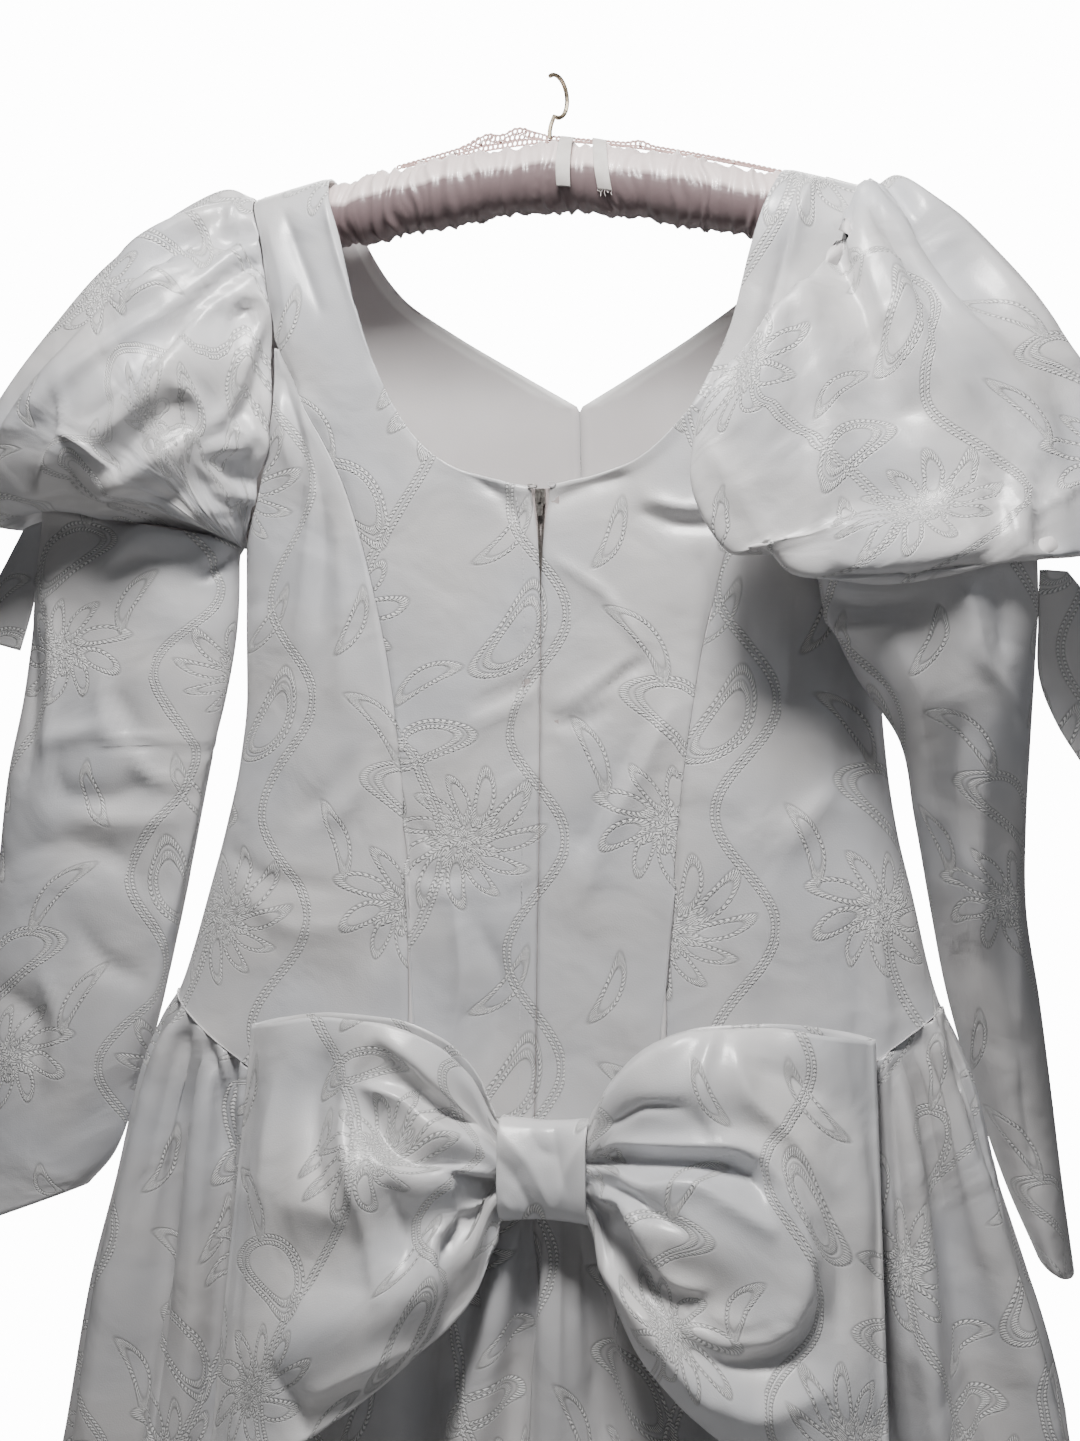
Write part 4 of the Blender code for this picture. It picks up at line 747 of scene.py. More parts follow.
# Pressed and sewn creases. Columns: height or depth, half width, places; millimetres.
CREASES_BACK = [
    (-5.3, 4.4, [(46, -270), (28, -281), (15, -298)]),
    (-5.8, 5, [(-8, -288), (-34, -276), (-54, -272)]),
    (3.8, 3.9, [(68, -257), (47, -268), (28, -274), (10, -278)]),
    (3.8, 3.9, [(-8, -277), (-40, -271), (-67, -259), (-90, -237), (-111, -215)]),
    (-7.2, 5.5, [(-67, -296), (-88, -302), (-115, -303), (-125, -296)]),
    (4.8, 5.5, [(-71, -287), (-97, -293), (-122, -287)]),
    (-8.4, 6.6, [(178, -201), (166, -246), (169, -274), (177, -301), (197, -347)]),
    (-6.2, 6.6, [(158, -242), (150, -308), (153, -361)]),
    (7.2, 6.6, [(180, -214), (177, -235), (174, -256)]),
    (6.2, 6.6, [(166, -215), (156, -269), (160, -328), (169, -374)]),
    (5.3, 7.7, [(137, -309), (133, -362), (136, -414)]),
    (-5.3, 3.3, [(43, -420), (18, -410), (6, -401)]),
    (3.8, 4.4, [(46, -430), (20, -419), (3, -408)]),
    (-4.3, 3.3, [(-7, -429), (-24, -429), (-45, -420)]),
    (-3.8, 3.3, [(-30, -414), (-60, -395), (-69, -391)]),
    (3.8, 4.4, [(-11, -419), (-33, -408), (-55, -391)]),
    (5.8, 7.7, [(-82, -424), (-69, -456), (-46, -496), (-30, -539)]),
    (-4.8, 7.7, [(-65, -434), (-47, -472), (-27, -511)]),
    (-3.4, 2.8, [(80, -498), (75, -503), (71, -508)]),
    (4.8, 6.6, [(113, -460), (128, -484), (145, -496)]),
    (-4.8, 6.6, [(129, -454), (143, -474), (164, -491)]),
    (-6.2, 6.6, [(-160, -352), (-160, -383), (-159, -415)]),
    (6.2, 7.7, [(-186, -472), (-173, -488), (-161, -508)]),
    (-4.8, 6.6, [(-196, -383), (-196, -428), (-193, -472)]),
    (-2.4, 2.8, [(84, -524), (65, -529), (46, -526)]),
    (2.9, 2.8, [(82, -535), (58, -539), (38, -536)]),
    (-2.4, 2.8, [(38, -547), (18, -542), (2, -538)]),
    (3.4, 3.3, [(-10, -325), (-39, -344), (-65, -377)]),
    (-3.6, 5.5, [(-103, -326), (-110, -364), (-103, -409)]),
    (4.8, 6.6, [(-128, -326), (-131, -377), (-122, -428)]),
    (-5.8, 8.8, [(108, -584), (92, -545), (87, -499)]),
    (3.8, 6.6, [(200, -548), (162, -566), (119, -561)]),
    (-3.8, 5.5, [(220, -516), (186, -534), (141, -539)]),
    (-5.3, 6.6, [(-201, -554), (-205, -604), (-206, -646)]),
    (5.3, 5.5, [(-210, -542), (-216, -592), (-220, -628)]),
    (3.8, 6.6, [(-148, -529), (-142, -572), (-145, -616)]),
    (-3.8, 6.6, [(-104, -541), (-117, -579), (-120, -616)]),
    (-4.8, 5.5, [(38, -563), (24, -594), (30, -639)]),
    (4.3, 5.5, [(55, -544), (49, -595), (56, -640)]),
    (3.8, 3.3, [(149, -82), (141, -110), (130, -144), (116, -186)]),
    (-4.8, 4.4, [(178, -91), (166, -122), (152, -156)]),
    (4.8, 6.6, [(188, -100), (177, -141), (173, -175)]),
    (-7.2, 3.9, [(-161, -108), (-157, -130), (-147, -168), (-136, -199)]),
    (7.2, 4.4, [(-172, -84), (-164, -108), (-159, -136)]),
    (-5.8, 6.6, [(-130, -142), (-120, -181), (-106, -218)]),
    (4.3, 5.5, [(-103, -243), (-112, -269), (-125, -275)]),
]
# The front has creases like those low on the back.
CREASES_FRONT = [
    (high, wide, [(-x, z) for x, z in spots])
    for high, wide, spots in CREASES_BACK[1::2]
    if spots[0][1] < -400
]


def side_edge(back):
    """The outer edge of a side panel: the armhole, then the side seam."""
    return lambda drop: np.where(drop < ARMHOLE[-1][0], ARMHOLE_X[back](drop), BEYOND)


def centre_edges(back):
    """Inner and outer edges of a centre panel."""
    neck, bottom = (BACK_NECK_X, BACK_NECK[-1][0]) if back else (FRONT_NECK_X, FRONT_NECK[-1][0])
    below = ZIP_EDGE_X if back else (lambda drop: MEET + 0 * drop)
    corner = PRINCESS[0][0]
    inner = lambda drop: np.where(drop < bottom, np.maximum(neck(drop), MEET), below(drop))
    outer = lambda drop: np.where(drop <= corner, ARMHOLE_X[back](drop), PRINCESS_X[back](drop))
    return inner, outer


def make_bodice():
    for side, word in ((1, "left"), (-1, "right")):
        for back, face in ((True, "back"), (False, "front")):
            creases = CREASES_BACK if back else CREASES_FRONT
            rows = CENTRE_BACK_ROWS if back else CENTRE_FRONT_ROWS
            points = panel_points(rows, *centre_edges(back), side, back, CENTRE_FINE[back])
            points = seam_rolled(creased(points, creases, back=back))
            inside = np.abs(points[..., 0]) - np.abs(points[:, :1, 0])
            facing = (1 - eased(*FACING, inside)) * (np.abs(points[:, :1, 0]) > FACING_FROM)
            piece = cloth_piece(f"bodice_{face}_centre_{word}", points, start=(0.02, 0.13), band=facing)
            declare_cloth(piece, f"{face}_centre_{word}")
            edges = (PRINCESS_X[back], side_edge(back))
            points = panel_points(SIDE_ROWS, *edges, side, back, SIDE_FINE[back])
            points = seam_rolled(creased(points, creases, back=back))
            piece = cloth_piece(f"bodice_{face}_side_{word}", points, start=(0.07 * side, 0.04))
            declare_cloth(piece, f"{face}_side_{word}")


make_bodice()

# ---- sleeves -------------------------------------------------------------------------------------
# Each sleeve is a wide puff gathered into the armhole, closed by a close-fitting lower sleeve that
# reaches the wrist. A small bow is sewn to its outer side, of which the tails hang out.
# Rings of a puff. Columns: shoulder side, its drop, underarm side, its drop, back point: out, behind,
# drop; how far the front bulges; the middle's y; how far, in radians, the cloth's lengthwise lines turn
# under the arm.
PUFF_LEFT = [
    (0.232, 0.0760, 0.2175, 0.3105, 0.210, 0.054, 0.195, 0.045, 0.000, 0.00),
    (0.262, 0.0930, 0.2180, 0.3100, 0.228, 0.072, 0.205, 0.056, 0.000, 0.00),
    (0.302, 0.1220, 0.2185, 0.3095, 0.252, 0.086, 0.212, 0.064, 0.000, 0.00),
    (0.345, 0.1680, 0.2190, 0.3088, 0.276, 0.092, 0.226, 0.068, 0.000, 0.00),
    (0.385, 0.2140, 0.2195, 0.3082, 0.298, 0.090, 0.246, 0.068, 0.000, 0.00),
    (0.415, 0.2560, 0.2200, 0.3076, 0.310, 0.082, 0.266, 0.064, 0.000, 0.00),
    (0.424, 0.2800, 0.2205, 0.3068, 0.312, 0.068, 0.276, 0.056, 0.000, 0.00),
    (0.396, 0.2930, 0.2212, 0.3055, 0.300, 0.049, 0.281, 0.043, 0.000, 0.00),
]
PUFF_RIGHT = [
    (0.226, 0.0750, 0.2190, 0.3105, 0.1780, 0.0620, 0.1980, 0.0460, 0.0000, 0.00),
    (0.248, 0.0930, 0.2222, 0.3088, 0.1556, 0.0798, 0.2171, 0.0519, 0.0167, 0.07),
    (0.280, 0.1240, 0.2217, 0.3106, 0.1232, 0.1026, 0.2251, 0.0536, 0.0088, 0.04),
    (0.314, 0.1650, 0.2181, 0.3138, 0.1132, 0.1150, 0.2627, 0.0726, 0.0190, 0.20),
    (0.343, 0.2080, 0.2200, 0.3144, 0.1206, 0.1172, 0.2905, 0.0747, 0.0181, 0.23),
    (0.364, 0.2520, 0.2159, 0.3156, 0.1437, 0.1152, 0.3201, 0.0673, 0.0242, 0.42),
    (0.374, 0.2960, 0.2012, 0.3267, 0.1752, 0.1172, 0.3191, 0.0495, 0.0434, 0.70),
    (0.352, 0.3260, 0.1795, 0.3316, 0.2057, 0.1116, 0.3432, 0.0401, 0.0579, 0.91),
]
# Rings of a lower sleeve. Columns: outer side, its drop, inner side, its drop, middle's y, half depth.
LOWER_LEFT = [
    (0.3660, 0.2790, 0.2220, 0.3060, 0.000, 0.031),
    (0.3710, 0.3400, 0.2235, 0.3600, 0.000, 0.032),
    (0.3800, 0.4130, 0.2323, 0.4130, 0.000, 0.030),
    (0.3910, 0.4640, 0.2445, 0.4600, 0.000, 0.029),
    (0.3990, 0.5190, 0.2577, 0.5170, -0.002, 0.028),
    (0.4178, 0.6240, 0.2790, 0.6210, -0.004, 0.026),
    (0.4285, 0.6900, 0.2970, 0.6800, -0.005, 0.024),
    (0.4335, 0.7440, 0.3160, 0.7300, -0.005, 0.022),
    (0.4340, 0.7880, 0.3350, 0.7516, -0.005, 0.020),
]
LOWER_RIGHT = [
    (0.3120, 0.3180, 0.1800, 0.3360, 0.060, 0.029),
    (0.3130, 0.3500, 0.1850, 0.3620, 0.056, 0.032),
    (0.3110, 0.3950, 0.2010, 0.4000, 0.044, 0.038),
    (0.3085, 0.4400, 0.2265, 0.4400, 0.022, 0.043),
    (0.3060, 0.4900, 0.2350, 0.4900, -0.004, 0.046),
    (0.3060, 0.5500, 0.2440, 0.5500, -0.034, 0.050),
    (0.3150, 0.6148, 0.2550, 0.6148, -0.064, 0.052),
    (0.3230, 0.6800, 0.2720, 0.6800, -0.082, 0.051),
    (0.3300, 0.7400, 0.2920, 0.7400, -0.092, 0.050),
    (0.3380, 0.8000, 0.3120, 0.7860, -0.098, 0.049),
]
SLEEVES = [(1, "left", PUFF_LEFT, LOWER_LEFT), (-1, "right", PUFF_RIGHT, LOWER_RIGHT)]
# How square a puff is behind, by side, and its gathers: their number, how they fade and vary, their depths.
PUFF_SPREAD = {1: 2.0, -1: 1.3}
PUFF_GATHERS, GATHER_FADE_BACK, GATHER_FADE_FRONT, GATHER_UNEVEN, GATHER_START = 13, 1.6, 2.0, 0.9, 0.4
GATHER_DEPTH = [0.0050, 0.0075, 0.0070, 0.0060, 0.0055, 0.0050, 0.0045, 0.0015]
# Rows and columns of the grids, steps down an armhole, the gap where a puff meets its lower sleeve, and
# the most that a crease moves.
PUFF_FINE, LOWER_FINE, ARMHOLE_STEPS = (112, 176), (104, 104), 60
SEWN, PUFF_MOST, LOWER_MOST = 0.0004, 0.010, 0.008
# Columns of the creases: height or depth, half width, places; millimetres.
CREASES_PUFF = {
    "left": [
        (6.3, 4.6, [(214, -74), (219, -83), (234, -87), (248, -92), (267, -100), (287, -110)]),
        (-9, 6.3, [(218, -77), (222, -90), (236, -105), (246, -114), (261, -124)]),
        (10.8, 5.8, [(218, -81), (218, -92), (229, -98), (235, -111), (248, -123), (260, -139), (278, -149)]),
        (-10.8, 7.5, [
            (200, -100), (213, -104), (221, -116), (230, -130), (244, -147), (265, -160), (289, -176),
            (310, -190),
        ]),
        (14.4, 9.2, [
            (198, -110), (210, -116), (222, -127), (238, -144), (258, -162), (280, -178), (300, -191),
            (314, -202), (333, -218), (353, -234),
        ]),
        (-14.4, 7.5, [
            (198, -122), (206, -130), (220, -143), (238, -167), (247, -188), (261, -204), (277, -220),
            (293, -230),
        ]),
        (15.3, 8, [
            (196, -131), (206, -136), (219, -148), (230, -161), (238, -182), (248, -204), (266, -225),
            (288, -241),
        ]),
        (4, 2.3, [(195, -118), (201, -120), (209, -127)]),
        (-4.5, 2.3, [(195, -124), (201, -124), (210, -132)]),
        (-7.2, 5.2, [(200, -151), (208, -157), (211, -166)]),
        (8.1, 4.6, [(212, -166), (212, -156), (204, -147), (194, -146), (189, -155)]),
        (9, 5.8, [(189, -155), (193, -170), (200, -194), (207, -213), (216, -229), (224, -240)]),
        (-11.7, 6.3, [(189, -166), (191, -186), (196, -205), (202, -217), (212, -234)]),
        (6.3, 3.4, [(239, -211), (232, -211), (227, -218), (224, -230)]),
        (-5.4, 6.9, [(232, -214), (246, -226), (261, -241), (273, -258), (287, -268)]),
        (-4, 11.5, [(234, -229), (239, -243), (257, -256)]),
        (4.5, 2.3, [(315, -203), (314, -219), (313, -237)]),
        (5.4, 2.8, [(313, -239), (297, -248), (284, -261)]),
        (5.4, 3.2, [(313, -240), (326, -258), (338, -271)]),
        (-5.4, 6.9, [(307, -255), (315, -271), (323, -281)]),
        (-4.7, 3.4, [(296, -243), (283, -232), (268, -221)]),
        (8.1, 6.9, [
            (375, -278), (363, -284), (358, -282), (319, -284), (280, -274), (266, -265), (239, -250),
            (227, -240),
        ]),
        (-11.7, 9.2, [(263, -289), (237, -281), (227, -261), (221, -242)]),
        (6.1, 4.6, [(224, -253), (216, -248), (202, -243), (210, -234)]),
        (-9.9, 5.8, [(209, -261), (203, -267), (218, -264)]),
        (9.9, 6.9, [(215, -268), (210, -278), (215, -279), (210, -288)]),
        (5.8, 4.1, [(198, -256), (192, -242), (209, -232)]),
        (-8.1, 5.2, [(225, -268), (219, -281), (209, -286), (217, -294)]),
        (-7.2, 4.6, [(218, -258), (211, -258), (204, -254)]),
    ],
    "right": [
        (5.4, 3.4, [(-203, -98), (-204, -96), (-206, -93), (-212, -83)]),
        (10.8, 5.8, [
            (-203, -100), (-199, -108), (-196, -119), (-204, -145), (-214, -170), (-221, -187),
            (-229, -206), (-232, -232),
        ]),
        (-11.7, 5.8, [
            (-197, -114), (-190, -129), (-200, -154), (-209, -172), (-218, -192), (-224, -211),
            (-228, -232),
        ]),
        (11.7, 11.5, [(-203, -100), (-208, -125), (-223, -152), (-239, -180), (-252, -202), (-263, -221)]),
        (-12.6, 6.3, [(-206, -98), (-224, -126), (-239, -151), (-247, -174), (-255, -196), (-266, -213)]),
        (12.6, 6.9, [
            (-204, -96), (-209, -87), (-226, -110), (-237, -133), (-251, -156), (-266, -176), (-279, -194),
            (-294, -212), (-305, -240), (-313, -262),
        ]),
        (-11.7, 6.3, [(-214, -82), (-227, -98), (-237, -117), (-249, -141), (-264, -165), (-276, -184)]),
        (6.3, 10.3, [(-258, -105), (-274, -121), (-292, -141), (-312, -165), (-327, -186)]),
        (4.7, 8, [(-275, -184), (-290, -193), (-305, -196), (-323, -204), (-338, -205)]),
        (-5.4, 10.3, [(-265, -139), (-280, -158), (-295, -178)]),
        (8.1, 9.2, [(-305, -214), (-316, -243), (-324, -273)]),
        (-9, 8, [(-276, -216), (-294, -241), (-305, -260)]),
        (-16.2, 8, [(-314, -274), (-316, -301), (-319, -329)]),
        (8.1, 4.6, [(-313, -269), (-309, -294), (-304, -318), (-310, -328), (-321, -328), (-329, -327)]),
        (5.4, 3.4, [(-325, -297), (-331, -288), (-338, -284)]),
        (9, 5.8, [
            (-171, -160), (-175, -179), (-180, -202), (-185, -230), (-188, -246), (-187, -269),
            (-187, -294), (-186, -310),
        ]),
        (-7.2, 6.9, [(-166, -173), (-172, -199), (-177, -222), (-181, -247), (-181, -271)]),
        (7.2, 14.9, [(-164, -168), (-151, -191), (-139, -227), (-130, -256)]),
        (-7.2, 11.5, [(-199, -229), (-214, -236), (-228, -242), (-243, -236)]),
        (-8.1, 9.2, [(-206, -190), (-213, -213), (-221, -232)]),
        (-2.5, 9.2, [(-159, -328), (-174, -324), (-184, -316), (-190, -303)]),
        (6.3, 4.6, [(-120, -265), (-135, -290), (-156, -325)]),
        (9.9, 11.5, [(-199, -335), (-219, -338), (-240, -335), (-267, -325), (-281, -315)]),
        (-9.9, 8, [(-195, -343), (-222, -342), (-250, -340), (-276, -336)]),
        (3.2, 2.3, [(-200, -306), (-196, -324), (-194, -337)]),
        (4.7, 3.4, [(-280, -263), (-280, -284), (-278, -305), (-276, -329)]),
        (-8.1, 8, [(-289, -267), (-288, -294), (-286, -318)]),
        (2.9, 2.3, [(-200, -144), (-212, -143), (-230, -145)]),
        (3.6, 2.3, [(-215, -178), (-220, -183), (-224, -178)]),
        (6.3, 10.3, [(-239, -255), (-256, -274), (-265, -297)]),
        (-6.3, 10.3, [(-214, -286), (-231, -299), (-251, -305)]),
    ],
}
CREASES_LOWER = {
    "left": [
        (10.8, 9.9, [(304, -319), (276, -298), (255, -300), (235, -304), (222, -306)]),
        (-9, 7.7, [(360, -295), (322, -299), (295, -292), (281, -295)]),
        (-8.1, 3.3, [(243, -330), (233, -326), (226, -315)]),
        (6.3, 4.4, [(244, -318), (235, -314), (227, -317)]),
        (-5.4, 7.7, [(300, -327), (283, -319), (262, -321)]),
        (4.7, 4.4, [(358, -341), (349, -352), (349, -393), (351, -432), (353, -471)]),
        (-4.3, 5.5, [(372, -363), (367, -393), (367, -438), (370, -471)]),
        (6.5, 6.6, [(352, -442), (333, -438), (308, -430)]),
        (-7.2, 8.8, [(348, -462), (338, -480), (309, -482), (282, -473)]),
        (-3.2, 1.8, [(324, -443), (290, -445), (241, -448)]),
        (2.9, 3.3, [(321, -439), (290, -441), (242, -443)]),
        (-5.4, 8.8, [(303, -406), (294, -423), (287, -444)]),
        (5.4, 6.6, [(310, -394), (308, -423), (304, -442)]),
        (4.3, 5.5, [(289, -448), (278, -466), (258, -470)]),
        (-5.4, 11, [(385, -525), (338, -512), (304, -522), (285, -542)]),
        (5.4, 8.8, [(325, -494), (292, -497), (264, -494)]),
        (-5.4, 7.7, [(330, -569), (309, -597), (288, -606)]),
        (4, 4.4, [(274, -554), (279, -596), (292, -648)]),
        (2.9, 3.3, [(244, -453), (255, -501), (269, -557), (287, -620), (298, -672)]),
        (-7.2, 8.8, [(391, -616), (370, -628), (360, -641), (364, -666)]),
        (4.7, 6.6, [(358, -602), (347, -632), (351, -677)]),
    ],
    "right": [
        (8.1, 5, [(-180, -336), (-181, -339), (-183, -353), (-185, -360), (-196, -371), (-224, -366)]),
        (-8.1, 6.6, [(-180, -336), (-186, -354), (-213, -361), (-239, -356)]),
        (5.4, 4.4, [(-270, -349), (-275, -367), (-281, -391), (-290, -403), (-301, -428)]),
        (-5.4, 4.4, [(-287, -349), (-291, -367), (-293, -385)]),
        (-5.4, 7.7, [(-199, -378), (-217, -409), (-228, -440)]),
        (5.4, 7.7, [(-230, -379), (-245, -416), (-250, -459)]),
        (-5.4, 6.6, [(-266, -428), (-262, -471), (-268, -509)]),
        (5.4, 6.6, [(-281, -452), (-278, -509), (-280, -568)]),
        (-5.4, 7.7, [(-253, -497), (-265, -542), (-270, -595)]),
        (5.4, 6.6, [(-296, -497), (-299, -575), (-303, -662)]),
        (-5.4, 6.6, [(-290, -561), (-302, -642), (-312, -729)]),
        (3.6, 4.4, [(-241, -532), (-250, -586), (-257, -621)]),
    ],
}
# Tails. Columns: drop below the sleeve's top, the inner and the outer edge's distance from the sleeve, y
# and extra drop of the outer edge.
TAILS = {
    "left": [
        (0.010, 0.0007, 0.020, -0.012, 0.004),
        (0.040, 0.0007, 0.040, -0.020, 0.006),
        (0.070, 0.0030, 0.056, -0.028, 0.000),
        (0.100, 0.0090, 0.068, -0.032, -0.014),
    ],
    "right": [
        (0.018, 0.0007, 0.018, -0.014, 0.000),
        (0.050, 0.0007, 0.040, -0.030, -0.006),
        (0.082, 0.0030, 0.060, -0.042, -0.010),
        (0.112, 0.0160, 0.072, -0.050, -0.006),
        (0.138, 0.0340, 0.078, -0.056, 0.000),
    ],
}
# A tail's area as cut, in square metres, its grid's rows and columns, and the height of its wave.
TAIL_CUT, TAIL_FINE, TAIL_WAVE = {"left": 0.0045, "right": 0.0085}, (48, 24), 0.0035


def through(rings, count):
    """A smooth sheet through rings of points, with count + 1 rows evenly spread between them."""
    gaps = np.linalg.norm(np.diff(rings, axis=0), axis=-1).mean(axis=1)
    keys = np.concatenate([[0.0], np.cumsum(gaps)])
    rises = np.diff(rings, axis=0) / gaps[:, None, None]
    slopes = np.concatenate([rises[:1], rises[:-1], rises[-1:]])[: len(rings)].copy()
    weight = (gaps[1:] / (gaps[1:] + gaps[:-1]))[:, None, None]
    slopes[1:-1] = rises[:-1] * weight + rises[1:] * (1 - weight)
    slopes[0], slopes[-1] = rises[0], rises[-1]
    at = np.linspace(0, keys[-1], count + 1)
    i = np.clip(np.searchsorted(keys, at, side="right") - 1, 0, len(gaps) - 1)
    t, wide = ((at - keys[i]) / gaps[i])[:, None, None], gaps[i][:, None, None]
    start = rings[i] * (1 + 2 * t) * (1 - t) ** 2 + slopes[i] * wide * t * (1 - t) ** 2
    return start + rings[i + 1] * (3 - 2 * t) * t**2 + slopes[i + 1] * wide * (t - 1) * t**2


def outward(surface, across, down, step=0.0002):
    """Unit normals of a surface whose across runs anticlockwise, seen from above, and whose down falls."""
    along = surface(across + step, down) - surface(across - step, down)
    fall = surface(across, down + step) - surface(across, down - step)
    return unit(np.cross(fall, along))


def round_turns(columns):
    """Turns of a tube's columns, from under the arm over the shoulder, which is 0, and back."""
    return 2 * math.pi * np.linspace(0.5, 1.5, columns + 1)


def armhole_ring(side, lines):
    """Points round the armhole, just clear of the bodice."""
    top = np.array([side * (SHOULDER_TIP + SEAM), 0, SEAM - shoulder(SHOULDER_TIP)])
    ring = np.zeros((len(lines), 3))
    for back in (True, False):
        drops = np.linspace(ARMHOLE[1][0], ARMHOLE[-1][0], ARMHOLE_STEPS)
        angle = angle_at(side * ARMHOLE_X[back](drops), drops, back)
        normal = outward(body_point, angle, np.maximum(drops, SHOULDER_ROW))
        run = body_point(angle, drops) + SEAM * normal + np.array([SEAM * side, 0, 0])
        run = np.concatenate([top[None], run])
        height = mix(run[-1, 2], top[2], (1 + np.cos(lines)) / 2)
        spots = np.stack([np.interp(-height, -run[:, 2], run[:, k]) for k in range(3)], axis=-1)
        mine = (np.sin(lines) > -1e-6) == back
        ring[mine] = spots[mine]
    return settled(ring)


def sleeve_section(sides, y, lines, turned):
    """A sleeve ring's middle, its reach to the outer side, and the turns of the cloth's lines."""
    out_x, out_drop, in_x, in_drop = sides
    outer, inner = np.array([out_x, y, -out_drop]), np.array([in_x, y, -in_drop])
    turn = (lines + turned * (1 - np.cos(lines)) / 2)[:, None]
    return (outer + inner) / 2, (outer - inner) / 2, turn


def lower_ring(side, row, lines, lift=0.0, turned=0.0):
    """A ring of the fitted sleeve."""
    *sides, y, half = row
    middle, reach, turn = sleeve_section(sides, y, lines, turned)
    up = unit(np.cross([0, 1, 0], reach)) * -lift
    ring = middle + reach * np.cos(turn) + np.array([0, half, 0]) * np.sin(turn) + up
    return ring * np.array([side, 1, 1])


def puff_ring(side, row, depth, lines):
    """A ring of the puffed sleeve, with its gathers."""
    *sides, back_x, back_out, back_drop, front, y, turned = row
    middle, reach, turn = sleeve_section(sides, y, lines, turned)
    behind = np.array([back_x, back_out, -back_drop]) - middle
    toward = np.where(np.sin(turn) > 0, behind, np.array([0, -front, 0]))
    share = np.abs(np.sin(turn))
    spread = share ** PUFF_SPREAD[side]
    point = middle + reach * np.cos(turn) + toward * np.concatenate([spread, share, share**2], axis=1)
    fade = np.abs(np.cos(lines / 2)) ** np.where(np.sin(lines) > 0, GATHER_FADE_BACK, GATHER_FADE_FRONT)
    wave = np.sin(PUFF_GATHERS * lines + GATHER_UNEVEN * np.sin(2 * lines) + GATHER_START)
    point = point + (depth * fade * wave)[:, None] * unit(point - middle)
    return settled(point * np.array([side, 1, 1]))


def creased_sleeve(rings, rows, creases, most):
    """A sleeve's grid through its rings, creased behind, and with every other crease in front too."""
    points = creased(through(np.array(rings), rows), creases, form="tube", most=most)
    return creased(points, creases[::2], form="tube", back=False, most=most)


def make_sleeves():
    for side, word, puff, lower in SLEEVES:
        lines = round_turns(PUFF_FINE[1])
        rings = [armhole_ring(side, lines)]
        rings += [puff_ring(side, row, depth, lines) for row, depth in zip(puff, GATHER_DEPTH)]
        rings.append(lower_ring(side, lower[0], lines, lift=SEWN, turned=puff[-1][-1]))
        points = creased_sleeve(rings, PUFF_FINE[0], CREASES_PUFF[word], PUFF_MOST)
        piece = cloth_piece(f"puff_{word}", points, start=(side * 0.31, 0.05), form="tube")
        declare_cloth(piece, f"sleeve_puff_{word}")
        lines = round_turns(LOWER_FINE[1])
        rings = [lower_ring(side, row, lines) for row in lower]
        points = creased_sleeve(rings, LOWER_FINE[0], CREASES_LOWER[word], LOWER_MOST)
        piece = cloth_piece(f"lower_sleeve_{word}", points, start=(side * 0.11, 0.17), form="tube")
        declare_cloth(piece, f"sleeve_lower_{word}")


def make_sleeve_tails():
    rows, columns = TAIL_FINE
    share = np.linspace(0, 1, columns + 1)[:, None]
    for side, word, _, lower in SLEEVES:
        keyed = [(row[1], row[0], row[4]) for row in lower]
        sleeve_x, sleeve_y = curve(keyed, 1), curve(keyed, 2)
        lines = []
        for fall, inner, outer, out_y, extra in TAILS[word]:
            drop = lower[0][1] + fall
            start = np.array([sleeve_x(drop) + inner, sleeve_y(drop), -drop])
            end = np.array([sleeve_x(drop) + outer, sleeve_y(drop) + out_y, -drop - extra])
            line = mix(start, end, share)
            line[:, 1] += TAIL_WAVE * np.sin(math.pi * share[:, 0]) * (1 + 0.5 * math.sin(40 * drop))
            lines.append(line * np.array([side, 1, 1]))
        points = through(np.array(lines), rows)
        piece = cloth_piece(f"tail_{word}", points, start=(0.37, side * 0.21), materials=(SATIN, SATIN))
        declare_cloth(piece, f"sleeve_tail_{word}")


make_sleeves()
make_sleeve_tails()

# ---- skirt ---------------------------------------------------------------------------------------
# Two back panels and a wide front, gathered to the pointed waist and let down straight. Its folds run
# from the gathers to the hem and stand out further as they fall.
# Folds and gathers all round, how unevenly the gathers are spaced, the share of a fold that lies outside
# the body form, and the gap at the waist.
SKIRT_FOLDS, SKIRT_GATHERS, GATHER_SPACING, FOLD_OUTWARD, WAIST_GAP = 24, 48, 1.2, 0.32, 0.0006
# Columns: share of the way to the hem, depth of the folds, depth of the gathers.
SKIRT_ROWS = [
    (0.000, 0.0006, 0.0020),
    (0.022, 0.0060, 0.0060),
    (0.070, 0.0130, 0.0060),
    (0.160, 0.0240, 0.0024),
    (0.340, 0.0380, 0.0000),
    (0.640, 0.0520, 0.0000),
    (1.000, 0.0660, 0.0000),
]
# How uneven the folds are all the way round. Columns: size, how many times round, start.
FOLD_SPACING = [(0.9, 3, 0.6), (0.6, 7, 2.0)]
FOLD_DEPTHS = [(0.145, 5, 1.1), (0.091, 11, 0.0)]
# The folds' mean share of their depth, and how far they lean to one side.
FOLD_EVEN, FOLD_LEAN, FOLD_LEAN_START = 0.727, 0.18, 0.7
# Rows of a panel's grid, how they crowd to the waist, the gap at a seam, and the most a crease moves.
SKIRT_ROWS_FINE, ROWS_CROWD, SKIRT_MEET, SKIRT_MOST = 110, 1.35, 0.00002, 0.009
# Columns: name, the share of the way round where it starts, quarters that it spans, columns to a quarter.
SKIRT_PANELS = [("back_left", 0.0, 1, 170), ("back_right", 0.25, 1, 170), ("front", 0.5, 2, 85)]
